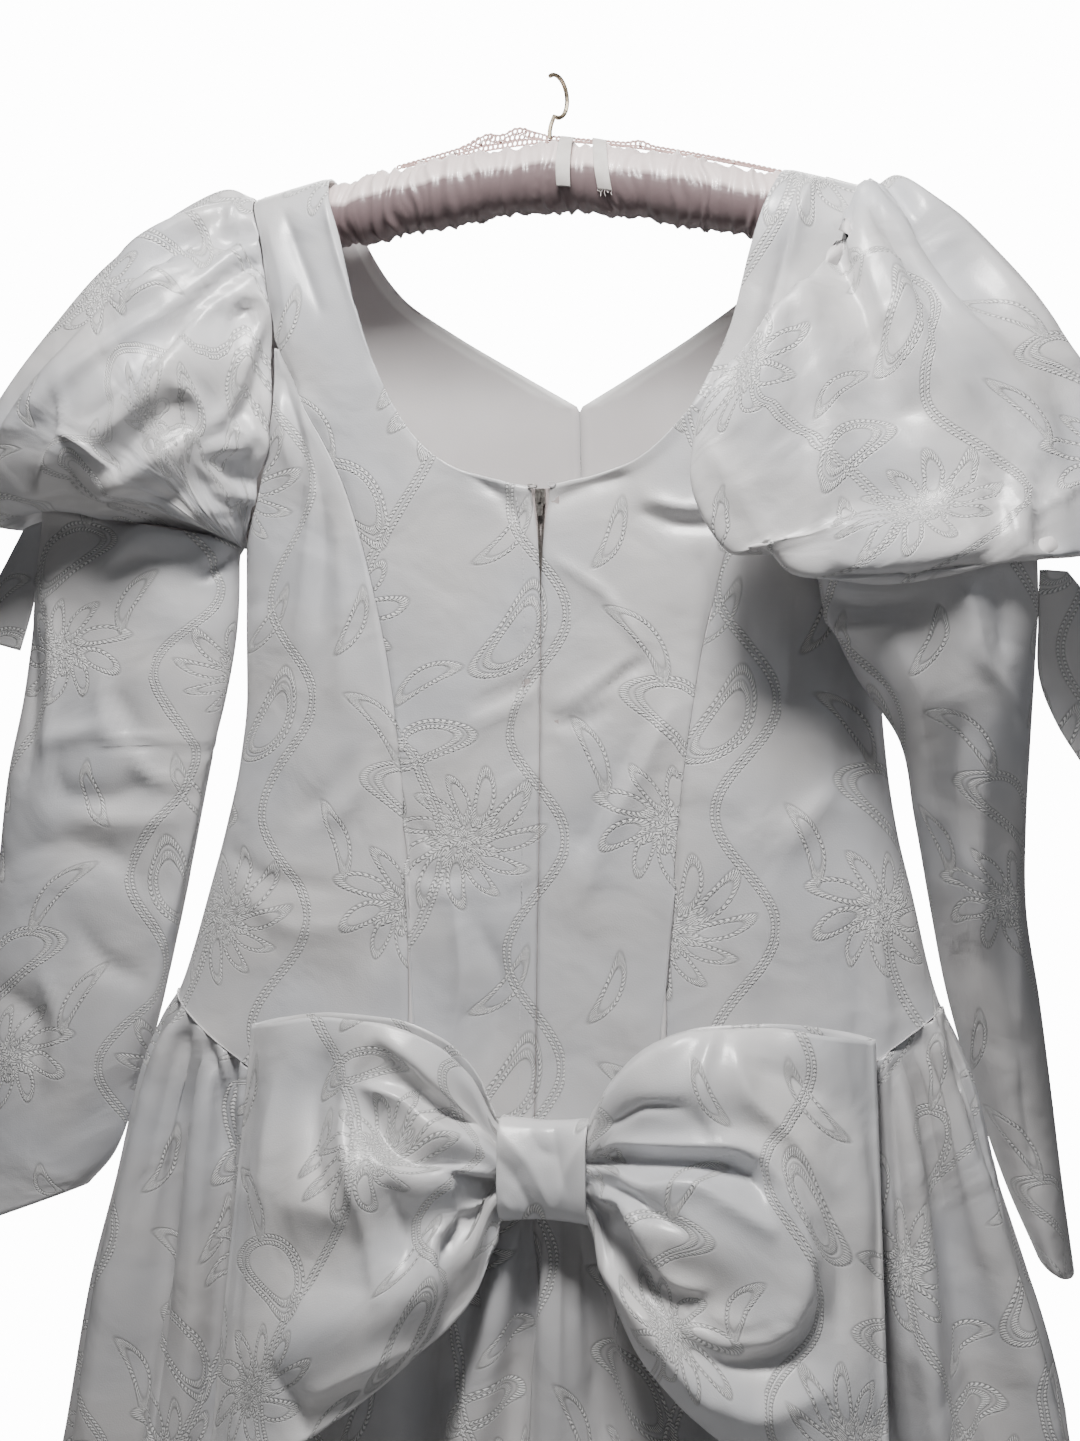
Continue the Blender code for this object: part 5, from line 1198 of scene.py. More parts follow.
# Columns: height or depth, half width, places; millimetres.
CREASES_SKIRT = [
    (-8, 6.9, [(22, -745), (36, -794), (45, -842), (49, -879)]),
    (9.6, 8, [(9, -747), (19, -787), (25, -830), (30, -878)]),
    (-8, 6.9, [(-6, -744), (2, -794), (8, -839), (11, -882)]),
    (8, 6.9, [(-18, -744), (-18, -791), (-19, -833), (-21, -875)]),
    (-8, 6.9, [(-30, -743), (-38, -791), (-44, -835), (-50, -878)]),
    (8, 6.9, [(-37, -743), (-54, -791), (-69, -830), (-79, -871)]),
    (12.2, 10.3, [(260, -637), (272, -684), (288, -751), (299, -831), (309, -910)]),
    (-14.1, 8, [(248, -643), (249, -682), (257, -763), (254, -830), (256, -900)]),
    (11.5, 8, [(232, -645), (230, -687), (230, -758), (232, -829), (235, -900)]),
    (-8.3, 4, [(226, -647), (218, -666), (215, -712)]),
    (7.7, 3.7, [(216, -649), (212, -670), (207, -705)]),
    (-12.2, 5.8, [(209, -654), (208, -692), (211, -764), (215, -830), (216, -900)]),
    (10.9, 5.8, [(200, -656), (198, -698), (202, -777), (192, -891)]),
    (13.4, 10.3, [(-248, -620), (-254, -661), (-268, -710), (-284, -759), (-305, -813), (-326, -876)]),
    (-14.7, 9.2, [(-238, -633), (-247, -679), (-259, -741), (-267, -808), (-272, -870)]),
    (11.5, 6.9, [(-227, -641), (-234, -684), (-241, -739), (-248, -802), (-253, -866)]),
    (-9, 4, [(-224, -646), (-225, -689), (-230, -749), (-236, -809)]),
    (8.3, 4, [(-219, -651), (-222, -702), (-227, -786), (-230, -874)]),
    (-8.3, 3.4, [(-255, -618), (-266, -656), (-280, -706)]),
]


def quarter_angles():
    """Angles from a side seam to a middle seam, as a function of the share of the hem between them."""
    turns = np.linspace(0, math.pi / 2, 401)
    spots = body_point(turns, HEM_DROP)
    lengths = np.concatenate([[0.0], np.cumsum(np.linalg.norm(np.diff(spots, axis=0), axis=1))])
    return curve(list(zip(lengths / lengths[-1], turns)), 1)


QUARTER = quarter_angles()
FOLD_AT, GATHER_AT = curve(SKIRT_ROWS, 1), curve(SKIRT_ROWS, 2)


def skirt_smooth(around, down):
    """The skirt without its folds: around is the share of the way round, down the share to the hem."""
    quarter = np.floor(around % 1.0 * 4)
    rest = around % 1.0 * 4 - quarter
    turn = np.where(quarter % 2 == 0, QUARTER(rest), math.pi / 2 - QUARTER(1 - rest))
    angle = quarter * math.pi / 2 + turn
    return body_point(angle, mix(waist(angle) + WAIST_GAP, HEM_DROP, down))


def summed(waves, turn):
    """The sum of a table's waves at a turn."""
    return sum(size * np.sin(times * turn + start) for size, times, start in waves)


def skirt_point(around, down):
    """The skirt's outside with its folds and gathers."""
    turn = 2 * math.pi * around
    normal = outward(skirt_smooth, around, np.clip(down, 0.001, 0.999))
    normal[..., 2] = 0
    phase = SKIRT_FOLDS * turn + summed(FOLD_SPACING, turn)
    uneven = FOLD_EVEN + summed(FOLD_DEPTHS, turn)
    wave = uneven * (np.sin(phase) + FOLD_LEAN * np.sin(2 * phase + FOLD_LEAN_START))
    small = np.sin(SKIRT_GATHERS * turn + GATHER_SPACING * np.sin(4 * turn))
    fold = FOLD_AT(down) * (0.5 * wave - 0.5 + FOLD_OUTWARD) + 0.5 * GATHER_AT(down) * small
    return skirt_smooth(around, down) + unit(normal) * fold[..., None]


def make_skirt():
    down = (np.linspace(0, 1, SKIRT_ROWS_FINE + 1) ** ROWS_CROWD)[:, None]
    for name, first, quarters, columns in SKIRT_PANELS:
        around = np.linspace(SKIRT_MEET, 0.25 * quarters - SKIRT_MEET, columns * quarters + 1)
        around = first + around[None, :]
        points = skirt_point(around + 0 * down, down + 0 * around)
        points = creased(points, CREASES_SKIRT, back=name != "front", most=SKIRT_MOST)
        # The skirt takes the satin's copy with painted shade.
        finishes = (SATIN_PAINTED_SHADE, LINING)
        piece = cloth_piece(f"gown_skirt_{name}", points, start=(first, 0.4), materials=finishes)
        declare_cloth(piece, f"skirt_{name}")


make_skirt()

# ---- bow -----------------------------------------------------------------------------------------
# A wide doubled band of the same satin on each side of a knot, which is sewn over the point of the
# waist. The loops hang over the skirt's gathers, and their outer ends are turned under.
# The knot's middle, across and down, the loops' gap to the skirt, and how far their ends flare.
BOW_X, BOW_DROP, BOW_CLEAR, BOW_FLARE = -0.013, 0.708, 0.010, 0.013
KNOT_WIDTH, KNOT_HEIGHT, KNOT_DEPTH, KNOT_SEAT, KNOT_SQUARE = 0.056, 0.066, 0.036, 0.0021, 0.75
# Columns: share of the knot's width, how much of its height and depth is left there.
KNOT_RINGS = [(0.0, 1.0), (0.25, 0.95), (0.5, 0.93), (0.75, 0.95), (1.0, 1.0)]
# The bow's loops. Columns: distance from the knot's middle, top and bottom above the knot's middle,
# half the space between the two layers, depth of the folds.
BOW_LOOP = [
    (0.0080, 0.024, -0.024, 0.0060, 0.0010),
    (0.0285, 0.027, -0.030, 0.0085, 0.0020),
    (0.0450, 0.058, -0.076, 0.0160, 0.0070),
    (0.0680, 0.080, -0.106, 0.0230, 0.0100),
    (0.1000, 0.091, -0.136, 0.0270, 0.0085),
    (0.1400, 0.093, -0.166, 0.0240, 0.0050),
    (0.1780, 0.087, -0.192, 0.0150, 0.0020),
    (0.1920, 0.084, -0.201, 0.0090, 0.0010),
    (0.1985, 0.082, -0.205, 0.0050, 0.0000),
]
# Where a loop flattens, how full it is at its edges, and where it leaves the knot.
BOW_FLAT, BOW_BELLY, KNOT_BLEND = (0.14, 0.185), 0.40, (0.026, 0.070)
# Its folds: how many, their slant, how far the two sides differ, and their share in front and behind.
BOW_RIDGES, BOW_SLANT, BOW_APART, FRONT_FOLD, REAR_FOLD = 2.6, 6.0, 0.15, 0.8, 0.25
# Rows of a loop's grid, columns in front, round its outer fold and behind, and how full that fold is. The
# knot's rows and columns, and the most that a crease moves.
BOW_FINE, BOW_TURN_FULL, KNOT_FINE, BOW_MOST = (96, 64, 10, 40), 0.6, (44, 96), 0.012
# Columns of the creases: height or depth, half width, places; millimetres.
CREASES_BOW = {
    "left": [
        (-7, 4.2, [(53, -665), (43, -673), (28, -684)]),
        (10.5, 6, [(19, -692), (30, -683), (43, -663), (60, -642), (84, -626)]),
        (15.8, 5.5, [(18, -703), (33, -694), (47, -686), (62, -676), (79, -662), (94, -657)]),
        (-14, 6.8, [(92, -671), (74, -688), (54, -697), (32, -702)]),
        (7.9, 3.4, [(18, -710), (30, -706), (42, -703)]),
        (-7.9, 2.7, [(19, -717), (28, -713), (37, -707)]),
        (9.6, 4.2, [(43, -704), (41, -719), (43, -736), (50, -749), (48, -770), (57, -801)]),
        (-9.6, 4.2, [(38, -715), (38, -733), (43, -749), (43, -769)]),
        (7.9, 4.2, [(18, -727), (32, -728), (39, -735)]),
        (8.8, 5.1, [(14, -737), (27, -759), (36, -785), (51, -808)]),
        (7.9, 5.1, [
            (92, -619), (100, -638), (109, -657), (108, -682), (99, -705), (91, -732), (84, -760),
            (79, -778),
        ]),
        (-7, 6.8, [(125, -639), (132, -666), (127, -696), (116, -722)]),
        (4.4, 13.6, [(145, -729), (123, -728), (100, -738)]),
        (-2.6, 11.9, [(162, -794), (128, -774), (89, -772), (64, -786)]),
        (7, 7.6, [(122, -841), (93, -823), (60, -809)]),
        (-6.1, 7.6, [(148, -830), (132, -851), (127, -869)]),
        (-6.1, 6, [(76, -709), (68, -732), (64, -757)]),
        (6.1, 6.8, [(160, -661), (163, -695), (164, -726)]),
        (-2.1, 1.4, [(175, -638), (180, -690), (181, -744), (180, -796), (172, -845), (167, -873)]),
    ],
    "right": [
        (-6.1, 4.2, [(-56, -676), (-80, -662), (-102, -661)]),
        (10.5, 6, [(-42, -682), (-56, -664), (-79, -640), (-104, -622)]),
        (14, 6.4, [
            (-41, -695), (-64, -684), (-96, -685), (-125, -682), (-146, -687), (-161, -704), (-173, -728),
            (-177, -753), (-173, -778), (-162, -792), (-136, -798), (-112, -790),
        ]),
        (-11.4, 5.5, [(-44, -700), (-74, -693), (-107, -691), (-136, -695), (-154, -708)]),
        (10.5, 5.1, [(-41, -706), (-63, -705), (-84, -710), (-109, -706), (-130, -715), (-156, -730)]),
        (-8.8, 5.1, [(-48, -712), (-74, -713), (-92, -722), (-108, -729)]),
        (10.5, 5.1, [(-42, -719), (-65, -718), (-79, -727), (-91, -746), (-104, -760), (-117, -763)]),
        (-8.8, 4.2, [(-50, -734), (-65, -725), (-66, -746), (-82, -763)]),
        (7.9, 5.1, [(-41, -735), (-54, -761), (-78, -781), (-101, -805), (-124, -829)]),
        (7.9, 11.9, [(-120, -779), (-140, -784), (-163, -778)]),
        (-7.9, 6.8, [(-105, -795), (-136, -806), (-163, -803), (-182, -781)]),
        (6.1, 4.2, [(-120, -618), (-114, -645), (-120, -669), (-129, -682)]),
        (7.9, 6.8, [(-134, -628), (-141, -651), (-166, -677), (-188, -708)]),
        (-6.1, 11.9, [(-147, -636), (-170, -644), (-188, -657)]),
        (8.8, 11, [(-122, -826), (-154, -836), (-188, -824)]),
        (-7, 6.8, [(-189, -730), (-199, -761), (-197, -791)]),
        (6.1, 6.8, [(-203, -677), (-208, -716), (-211, -754)]),
        (-2.1, 1.4, [(-201, -626), (-210, -678), (-215, -730), (-217, -780), (-219, -830), (-222, -857)]),
    ],
}
CREASES_KNOT = [
    (3.2, 5, [(12, -686), (-6, -702), (-20, -730)]),
    (-3.2, 4, [(15, -698), (2, -714), (-8, -738)]),
    (2.6, 4, [(-38, -688), (-30, -704), (-24, -726)]),
    (-2.8, 4, [(-20, -680), (-24, -700), (-28, -716)]),
    (2.0, 4, [(12, -722), (4, -734)]),
    (-2.2, 5, [(-6, -684), (-14, -694), (-22, -696)]),
]


def back_y(x, drop):
    """How far behind the middle the gown's back lies."""
    half = np.where(x > 0, HALF_LEFT(drop), HALF_RIGHT(drop))
    return DEPTH_BACK(drop) * np.maximum(1 - np.abs(x / half) ** ROUND, 0.0) ** (1 / ROUND)


KNOT_Y = float(back_y(BOW_X, BOW_DROP + KNOT_HEIGHT / 2)) - KNOT_SEAT + KNOT_DEPTH / 2


def bow_points(side):
    """The grid of a loop: its front layer outwards, round the outer fold, and its rear layer back."""
    rows, front, turn, rear = BOW_FINE
    first, last = BOW_LOOP[0][0], BOW_LOOP[-1][0]
    bend = np.linspace(0, math.pi, turn + 1)[1:-1]
    out, back = np.linspace(first, last, front), np.linspace(last, first, rear)
    reach = np.concatenate([out, 0 * bend + last, back])
    layer = np.concatenate([np.ones(front), np.cos(bend), -np.ones(rear)])
    beyond = np.concatenate([np.zeros(front), np.sin(bend), np.zeros(rear)]) * BOW_TURN_FULL
    top, bottom, half, fold = (curve(BOW_LOOP, column)(reach) for column in (1, 2, 3, 4))
    share = np.linspace(0, 1, rows + 1)[:, None]
    x = BOW_X + side * (reach + BOW_FLARE * share * (reach / last) ** 2 + beyond * half)
    z = -BOW_DROP + mix(top, bottom, share)
    down = np.clip((-z - WAIST_SIDE) / (HEM_DROP - WAIST_SIDE), 0, 1)
    clear = back_y(x, -z) + FOLD_OUTWARD * FOLD_AT(down) + BOW_CLEAR + half
    y = mix(KNOT_Y, clear, eased(*KNOT_BLEND, reach))
    belly = mix(mix(BOW_BELLY, 1, np.sin(math.pi * share)), 1, eased(*BOW_FLAT, reach))
    phase = 2 * math.pi * (BOW_RIDGES * share + BOW_APART * side) + BOW_SLANT * reach
    y = y + layer * half * belly + fold * np.sin(phase) * mix(REAR_FOLD, FRONT_FOLD, (layer + 1) / 2)
    return np.stack([x, y, z], axis=-1)


def knot_points():
    turn = round_turns(KNOT_FINE[1])
    rings = []
    for share, drawn_in in KNOT_RINGS:
        deep = power(np.sin(turn), KNOT_SQUARE) * np.where(np.sin(turn) > 0, drawn_in, 1)
        tall = power(np.cos(turn), KNOT_SQUARE) * drawn_in
        x = 0 * turn + BOW_X + (share - 0.5) * KNOT_WIDTH
        y, z = KNOT_Y + KNOT_DEPTH / 2 * deep, -BOW_DROP + KNOT_HEIGHT / 2 * tall
        rings.append(np.stack([x, y, z], axis=-1))
    return through(np.array(rings), KNOT_FINE[0])


def make_bow():
    # The bow and knot take the satin's copy with painted light.
    finishes = (SATIN_PAINTED_LIGHT, SATIN_PAINTED_LIGHT)
    for side, word in ((1, "left"), (-1, "right")):
        points = creased(bow_points(side), CREASES_BOW[word], form="loop", most=BOW_MOST)
        piece = cloth_piece(f"bow_{word}", points, (side * 0.17, 0.3), form="loop", materials=finishes)
        declare_cloth(piece, f"bow_loop_{word}")
    points = creased(knot_points(), CREASES_KNOT, form="tube")
    piece = cloth_piece("knot", points, start=(0.5, 0.1), form="tube", materials=finishes)
    declare_cloth(piece, "bow_knot")


make_bow()

# ---- padded hanger -------------------------------------------------------------------------------
# A bare hanger wound in wadding and covered in dusty pink satin, which is gathered along a seam on its
# top. A brass wire hook rises from the middle.
# Half its length, its height and depth, how square its ends are, and the least size that they keep.
PAD_HALF, PAD_HEIGHT, PAD_DEPTH, PAD_END, PAD_LEAST = 0.196, 0.0506, 0.046, 8, 0.18
PAD_FINE = (380, 100)
# Gathers of the cover: sharp tucks, fine ripples and wide swells, all sunk a little. Columns: height, pitch
# (radians per metre), how much that varies, and over what (radians per metre).
TUCKS, RIPPLES, SWELLS = (0.0026, 250, 1.6, 61), (0.0006, 910, 2, 130), (0.0010, 118, 1.3, 37)
GATHERS_SUNK, TUCK_SHARP = 0.0034, 0.6
# How they lean as they run round the pad. Columns: size, pitch along it, waves round it.
GATHERS_LEAN = [(0.002, 40, 2), (0.0015, 170, 3)]
# How strong they are all round, and how much more so on top and underneath.
GATHERS_ALL, GATHERS_ABOVE, GATHERS_BELOW = 0.60, 0.45, 0.4
# Painted light on the cover, by height over the pad's middle line: where painted shade below meets a lit band
# on its top, how ragged that edge is, and the two painted tones.
SHADE_EDGE_FROM, SHADE_EDGE_TO, SHADE_EDGE_RAGGED = 0.0335, 0.0375, 0.011
COVER_PAINTED_SHADE, COVER_PAINTED_LIGHT = (0.20, 0.145, 0.15), (0.84, 0.72, 0.70)


def pad_point(x, turn, clear=0.0):
    """The padded hanger's surface: turn 0 faces backwards, 90 degrees is its top."""
    size = np.maximum(np.maximum(1 - np.abs(x / PAD_HALF) ** PAD_END, 0.0) ** 0.5, PAD_LEAST)
    tall, deep = PAD_HEIGHT / 2 * size, PAD_DEPTH / 2 * size
    middle = -pad_top(x) - tall
    y, z = (deep + clear) * np.cos(turn), middle + (tall + clear) * np.sin(turn)
    return np.stack([x + 0 * turn, y, z], axis=-1)


def pad_gathers(x, turn):
    """How far the cover stands in or out where it is gathered."""
    above, below = np.clip(np.sin(turn), 0, 1), np.clip(-np.sin(turn), 0, 1)
    strong = GATHERS_ALL + GATHERS_ABOVE * above**0.7 + GATHERS_BELOW * below**2
    slant = x
    for size, along, times in GATHERS_LEAN:
        slant = slant + size * np.sin(x * along + turn * times)

    def wave(row, start=0):
        return np.sin(slant * row[1] + row[2] * np.sin(slant * row[3] + start))

    tucks = TUCKS[0] * (1 - np.abs(wave(TUCKS)) ** TUCK_SHARP)
    return strong * (tucks + RIPPLES[0] * wave(RIPPLES) + SWELLS[0] * wave(SWELLS, 1) - GATHERS_SUNK)


def hanger_satin():
    """Dusty pink satin with painted light: a lit band along its top and painted shade below it, split at a
    ragged edge.
    """
    cover = Finish("hanger_satin", Sheen_Weight=0.25, Coat_Weight=0.10)
    place = cover.put("UVMap", uv_map="cloth").outputs["UV"]
    split, stretch = cover.put("SeparateXYZ"), cover.put("Mapping", Scale=(60.0, 9.0, 1.0))
    cover.link(place, split.inputs[0])
    cover.link(place, stretch.inputs["Vector"])
    ragged = cover.noise(stretch.outputs["Vector"], Scale=1.0, Detail=3.0)
    # Painted light and shade: below the ragged height the cover is painted dark, above it light.
    height = cover("MULTIPLY_ADD", ragged, SHADE_EDGE_RAGGED, split.outputs[1])
    share = cover.spread(height, From_Min=SHADE_EDGE_FROM, From_Max=SHADE_EDGE_TO)
    cover.colour(cover.ramp(share, (0.0, COVER_PAINTED_SHADE), (1.0, COVER_PAINTED_LIGHT)))
    cover.rough(ragged, 0.30, 0.42)
    cover.relief(cover.noise(place, Scale=800.0, Detail=1.0), 0.3, 0.0003)
    return cover.made


def make_pad():
    along, around = PAD_FINE
    x = (PAD_HALF * np.sin(math.pi * np.linspace(-0.5, 0.5, along + 1)))[:, None]
    turn = 2 * math.pi * np.linspace(-0.25, 0.75, around + 1)[None, :]
    points = pad_point(x, turn, clear=pad_gathers(x, turn))
    piece = cloth_piece("pad", settled(points), form="tube", wall=0, materials=(hanger_satin(),))
    mesh = piece.data
    bm = bmesh.new()
    bm.from_mesh(mesh)
    bmesh.ops.holes_fill(bm, edges=bm.edges, sides=0)
    bm.to_mesh(mesh)
    bm.free()
    spots, corners = spots_and_corners(mesh)
    height = spots[:, 2] + pad_top(spots[:, 0]) - HANG_TILT * spots[:, 0] + PAD_HEIGHT
    places = np.stack([spots[:, 0], height], axis=-1)[corners]
    mesh.uv_layers["cloth"].data.foreach_set("uv", places.astype(np.float32).ravel())
    on_gown(piece, "hanger_pad")


def mottled(finish, tone, dark, rough, **patches):
    """Patches of a lighter and a darker tone, which differ in roughness too."""
    place = finish.put("TexCoord").outputs["Object"]
    patch = finish.noise(place, **patches)
    finish.colour(finish.ramp(patch, (0.35, dark), (0.65, tone)))
    finish.rough(patch, *rough)
    return place


def worn_metal(name, tone, dark, rough, scale):
    """Metal dulled in patches, with fine scratches."""
    metal = Finish(name, Metallic=1.0)
    place = mottled(metal, tone, dark, rough, Scale=scale, Detail=4.0)
    metal.relief(metal.noise(place, Scale=scale * 9, Detail=2.0), 0.2, 0.0001)
    return metal.made


def repaint(node, finish):
    """Gives a CAD node that keeps its shape a better finish."""
    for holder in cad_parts[node].material_slots:
        holder.material = finish


make_pad()
brass = worn_metal("hook_wire", (0.80, 0.70, 0.52), (0.42, 0.34, 0.24), (0.35, 0.55), 220.0)
repaint("hanger_hook", brass)

# ---- crochet edging and ribbons ------------------------------------------------------------------
# Pale pink cotton edging crocheted in open loops along the hanger's top, with small pearls sewn on, and
# two ends of a narrow satin ribbon that hang over the pad.
# How far the edging stands behind the pad's middle, how deep it is seated, and half its thread's thickness.
LACE_Y, LACE_SEAT, THREAD = -0.0045, 0.0006, 0.00062
# Height of the edging along the hanger. Columns: x, height.
LACE = [(-0.150, 0.0025), (-0.100, 0.0030), (-0.066, 0.0035), (-0.056, 0.0060), (-0.045, 0.0035)]
LACE += [(-0.020, 0.0030), (0.004, 0.0045), (0.014, 0.0080), (0.028, 0.0125), (0.038, 0.0095)]
LACE += [(0.048, 0.0115), (0.062, 0.0065), (0.085, 0.0040), (0.108, 0.0025)]
# The pitch of the crochet loops and the share of it between two, a loop's width and height as shares of
# its place, and the height of a row of loops.
LOOP_PITCH, LOOP_STEP, LOOP_WIDE, LOOP_TALL, LOOP_ROW = 0.0036, 0.93, 0.86, 0.46, 0.0042
# Threads that run along the edging, by share of its height, how they are set in, and their points.
LACE_LINES, LINE_UP, LINE_IN, LINE_POINTS = (0, 0.35, 1), 0.0003, 0.0010, 150
# A pearl's radius, its share of the edging's height, and its share of the radius in front of the thread.
PEARL, PEARL_UP, PEARL_OUT = 0.0011, 0.55, 0.7
PEARLS_AT = [-0.118, -0.081, -0.056, -0.030, 0.0045, 0.022, 0.0385, 0.052, 0.070, 0.094]
# Half a ribbon's width, its thickness, its gap to the pad, the turns (degrees) where it starts and ends,
# and how it curls and ripples.
RIBBON_HALF, RIBBON_WALL, RIBBON_CLEAR, RIBBON_TURNS = 0.0047, 0.0005, 0.0007, (84, -24)
RIBBON_CURL, RIBBON_RIPPLE = 0.0006, 0.0005
# Columns: middle at the top, middle at the end.
RIBBONS = [(-0.0094, -0.0094), (-0.0300, -0.0370)]
# Rows and columns of the grid, and the frayed threads: their number, gap to the pad and half thickness.
RIBBON_FINE, FRAY_THREADS, FRAY_CLEAR, FRAY_THICK = (60, 12), 7, 0.0012, 0.00022


def plain_fibre(name, tone, dark, rough, scale, twist):
    """Cotton or ribbon: a mottled tone and a fine thread in one direction."""
    fibre = Finish(name, Sheen_Weight=0.3)
    place = mottled(fibre, tone, dark, rough, Scale=scale, Detail=3.0)
    threads = fibre.put("TexWave", Scale=twist, Distortion=1.0)
    fibre.link(place, threads.inputs["Vector"])
    fibre.relief(threads.outputs["Fac"], 0.35, 0.0002)
    return fibre.made


def thread_curve(name, lines, radius, finish):
    """Round threads or wires through lists of points."""
    wire = bpy.data.curves.new(name, "CURVE")
    wire.dimensions, wire.bevel_depth, wire.bevel_resolution, wire.use_fill_caps = "3D", radius, 1, True
    for line in lines:
        spline = wire.splines.new("POLY")
        spline.points.add(len(line) - 1)
        for spot, point in zip(spline.points, line):
            spot.co = (*point, 1)
    wire.materials.append(finish)
    return in_scene(name, wire)


def on_top(x, up):
    """A point of the edging, so far above the hanger's top."""
    return settled(np.array([[x, LACE_Y - LACE_SEAT, up - LACE_SEAT - float(pad_top(x))]]))[0]


def crochet_loop(x, low, high):
    """An oval of thread between two heights."""
    return [
        on_top(
            x + LOOP_PITCH * 0.5 * (1 + LOOP_WIDE * math.cos(turn)),
            mix(low, high, 0.5 + LOOP_TALL * math.sin(turn)),
        )
        for turn in np.linspace(0, 2 * math.pi, 13)
    ]


def make_lace():
    height = curve(LACE, 1)
    first, last = LACE[0][0], LACE[-1][0]
    cotton = plain_fibre("crochet_cotton", (0.60, 0.42, 0.39), (0.45, 0.30, 0.28), (0.7, 0.9), 300.0, 900.0)
    lines = []
    for up in LACE_LINES:
        at = np.linspace(first, last, LINE_POINTS)
        lines.append([on_top(x, up * (float(height(x)) - LINE_IN) + LINE_UP) for x in at])
    x = first
    while x < last:
        tall = float(height(x + LOOP_PITCH / 2))
        rows = max(1, round(tall / LOOP_ROW))
        for row in range(rows):
            lean = 0.5 * LOOP_PITCH * (row % 2)
            lines.append(crochet_loop(x + lean, tall * row / rows, tall * (row + 1) / rows))
        x += LOOP_PITCH * LOOP_STEP
    on_gown(thread_curve("lace", lines, THREAD, cotton), "hanger_lace")
    bm = bmesh.new()
    for x in PEARLS_AT:
        spot = on_top(x, float(height(x)) * PEARL_UP)
        spot[1] += THREAD + PEARL * PEARL_OUT
        place = Matrix.Translation(spot)
        bmesh.ops.create_uvsphere(bm, u_segments=14, v_segments=9, radius=PEARL, matrix=place)
    mesh = mesh_of(bm, "pearls")
    mesh.shade_smooth()
    pearl = plain_fibre("pearl", (0.86, 0.82, 0.78), (0.78, 0.72, 0.68), (0.12, 0.25), 400.0, 200.0)
    mesh.materials.append(pearl)
    on_gown(in_scene("pearls", mesh))


def make_ribbons():
    silk = plain_fibre("ribbon_satin", (0.74, 0.70, 0.67), (0.64, 0.60, 0.57), (0.35, 0.5), 120.0, 600.0)
    rows, columns = RIBBON_FINE
    share, across = np.linspace(0, 1, rows + 1)[:, None], np.linspace(1, -1, columns + 1)[None, :]
    for number, (top_x, end_x) in enumerate(RIBBONS, 1):
        x = mix(top_x, end_x, share) + RIBBON_HALF * across
        turn = np.radians(mix(*RIBBON_TURNS, share)) + 0 * across
        curl = RIBBON_CURL * across**2 * share + RIBBON_RIPPLE * np.sin(share * 9 + across)
        points = settled(pad_point(x, turn, clear=RIBBON_CLEAR + RIBBON_WALL + curl))
        piece = cloth_piece(f"ribbon_{number}", points, wall=RIBBON_WALL, materials=(silk, silk))
        on_gown(piece, f"hanger_ribbon_{number}")
    ends, low_turn = [], np.radians([RIBBON_TURNS[1]])
    for k in range(FRAY_THREADS):
        x = np.array([end_x + RIBBON_HALF * (k / 3 - 1)])
        start = settled(pad_point(x, low_turn, FRAY_CLEAR))[0]
        down = 0.0030 + 0.0016 * math.sin(5 * k)
        fall = np.array([0.0012 * math.sin(2 * k), 0.0006 * math.cos(3 * k), -down])
        ends.append([start, start + 0.5 * fall + np.array([0.0006, 0, 0]), start + fall])
    on_gown(thread_curve("ribbon_ends", ends, FRAY_THICK, silk))


make_lace()
make_ribbons()

# ---- zip, stitching and fastenings ---------------------------------------------------------------
# A light zip in a grey-pink tape is set behind the back opening, which gapes at its top. It is sewn
# down on the left, and a wire hook with a thread eye closes the neck edge above it.
# The teeth that show, and the slider's place and half length, which hide some of them.
TEETH_FROM, TEETH_TO, SLIDER_AT, SLIDER_HALF = 0.2800, 0.352, 0.2840, 0.0056
TOOTH_PITCH, TOOTH_SIZE, TOOTH_SUNK, TOOTH_LEAST = 0.0014, (0.0016, 0.0009, 0.0007), 0.0015, 0.0009
# The line of stitches: drops where it starts and ends, its distance from the zip, and its pitch.
STITCHES_FROM, STITCHES_TO, STITCH_LINE, STITCH_PITCH = 0.285, 0.716, 0.0105, 0.0034
STITCH_SIZE, STITCH_CLEAR = (0.0006, 0.0005, 0.0024), 0.00005
# The neck hook's bends. Columns: distance from the middle, drop below the neck edge, clear of the cloth.
NECK_EDGE, HOOK_WIRE, EYE_THREAD = 0.2772, 0.0004, 0.0003
NECK_HOOK = [(0.0082, -0.0010, 0.0006), (0.0050, -0.0012, 0.0010), (0.0020, -0.0006, 0.0012)]
NECK_HOOK += [(0.0022, 0.0010, 0.0012), (0.0052, 0.0012, 0.0010), (0.0080, 0.0012, 0.0006)]
# Its thread eye: place, half width, half height, clear of the cloth.
NECK_EYE = (-0.0075, -0.0012, 0.0026, 0.0016, 0.0007)


def back_spot(x, drop, clear):
    """A point so far outside the back."""
    angle = angle_at(np.array([x if x else 1e-6]), np.array([drop]), True)
    point = body_point(angle, np.array([drop]))
    return settled(point + clear * outward(body_point, angle, np.array([drop])))[0]


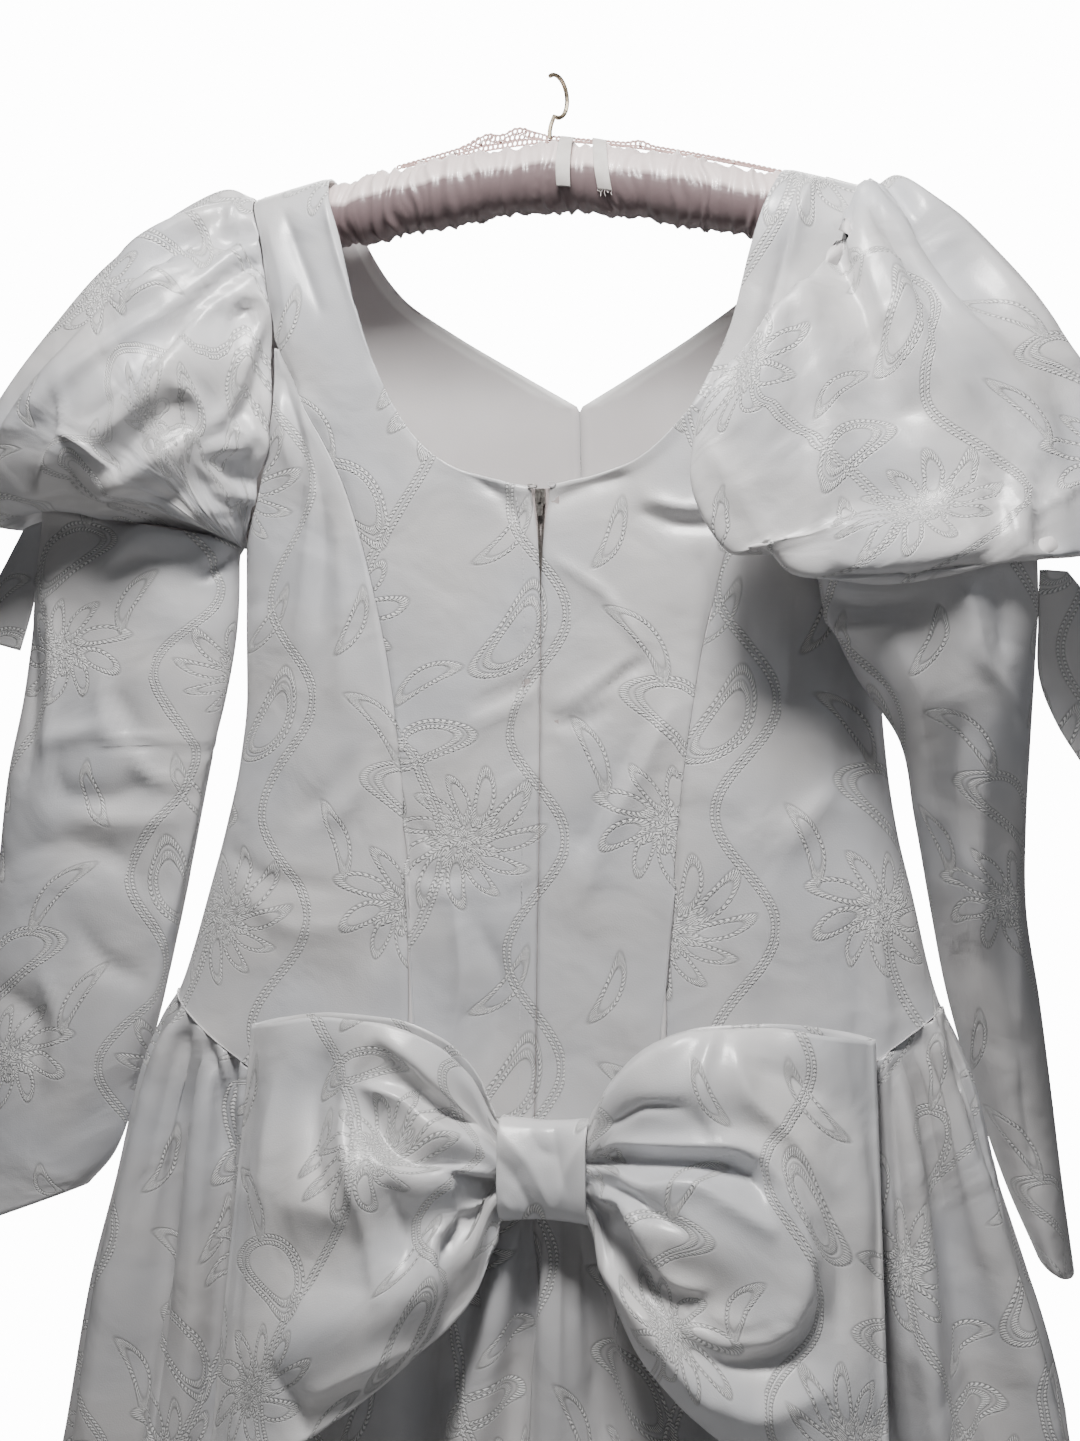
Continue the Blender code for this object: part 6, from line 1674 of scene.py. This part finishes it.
def small_boxes(name, middles, size, finish):
    """Many small boxes of one size in one piece."""
    bm = bmesh.new()
    for middle in middles:
        place = Matrix.Translation(middle) @ Matrix.Diagonal((*size, 1))
        bmesh.ops.create_cube(bm, size=1, matrix=place)
    mesh = mesh_of(bm, name)
    mesh.materials.append(finish)
    return in_scene(name, mesh)


def make_zip():
    for node in ("zip_slider", "zip_pull"):
        repaint(node, STEEL)
    tape = plain_fibre("zip_tape", (0.50, 0.44, 0.43), (0.42, 0.37, 0.36), (0.7, 0.85), 500.0, 700.0)
    repaint("zip_tape", tape)
    teeth, drop = [], TEETH_FROM
    while drop < TEETH_TO:
        x = max(0.45 * float(ZIP_EDGE_X(drop)), TOOTH_LEAST)
        if abs(drop - SLIDER_AT) > SLIDER_HALF:
            teeth.append(back_spot(x, drop, -TOOTH_SUNK))
            teeth.append(back_spot(-x, drop + TOOTH_PITCH / 2, -TOOTH_SUNK))
        drop += TOOTH_PITCH
    on_gown(small_boxes("zip_teeth", teeth, TOOTH_SIZE, STEEL))


def make_stitches():
    stitches, drop = [], STITCHES_FROM
    while drop < STITCHES_TO:
        stitches.append(back_spot(float(ZIP_EDGE_X(drop)) + STITCH_LINE, drop, STITCH_CLEAR))
        drop += STITCH_PITCH
    on_gown(small_boxes("zip_stitches", stitches, STITCH_SIZE, SEWING_THREAD))


def make_neck_hook():
    hook = [back_spot(x, NECK_EDGE + down, clear) for x, down, clear in NECK_HOOK]
    on_gown(thread_curve("neck_hook", [hook], HOOK_WIRE, STEEL))
    x, down, wide, tall, clear = NECK_EYE
    eye = []
    for turn in np.linspace(0, 6, 12):
        drop = NECK_EDGE + down + tall * math.sin(turn)
        eye.append(back_spot(x + wide * math.cos(turn), drop, clear))
    on_gown(thread_curve("neck_eye", [eye], EYE_THREAD, SEWING_THREAD))


WHITE, WHITE_SHADE = (0.72, 0.72, 0.73), (0.60, 0.60, 0.62)
SEWING_THREAD = plain_fibre("sewing_thread", WHITE, WHITE_SHADE, (0.5, 0.6), 300.0, 900.0)
STEEL = worn_metal("zip_metal", (0.50, 0.48, 0.45), (0.30, 0.28, 0.26), (0.3, 0.5), 600.0)
make_zip()
make_stitches()
make_neck_hook()
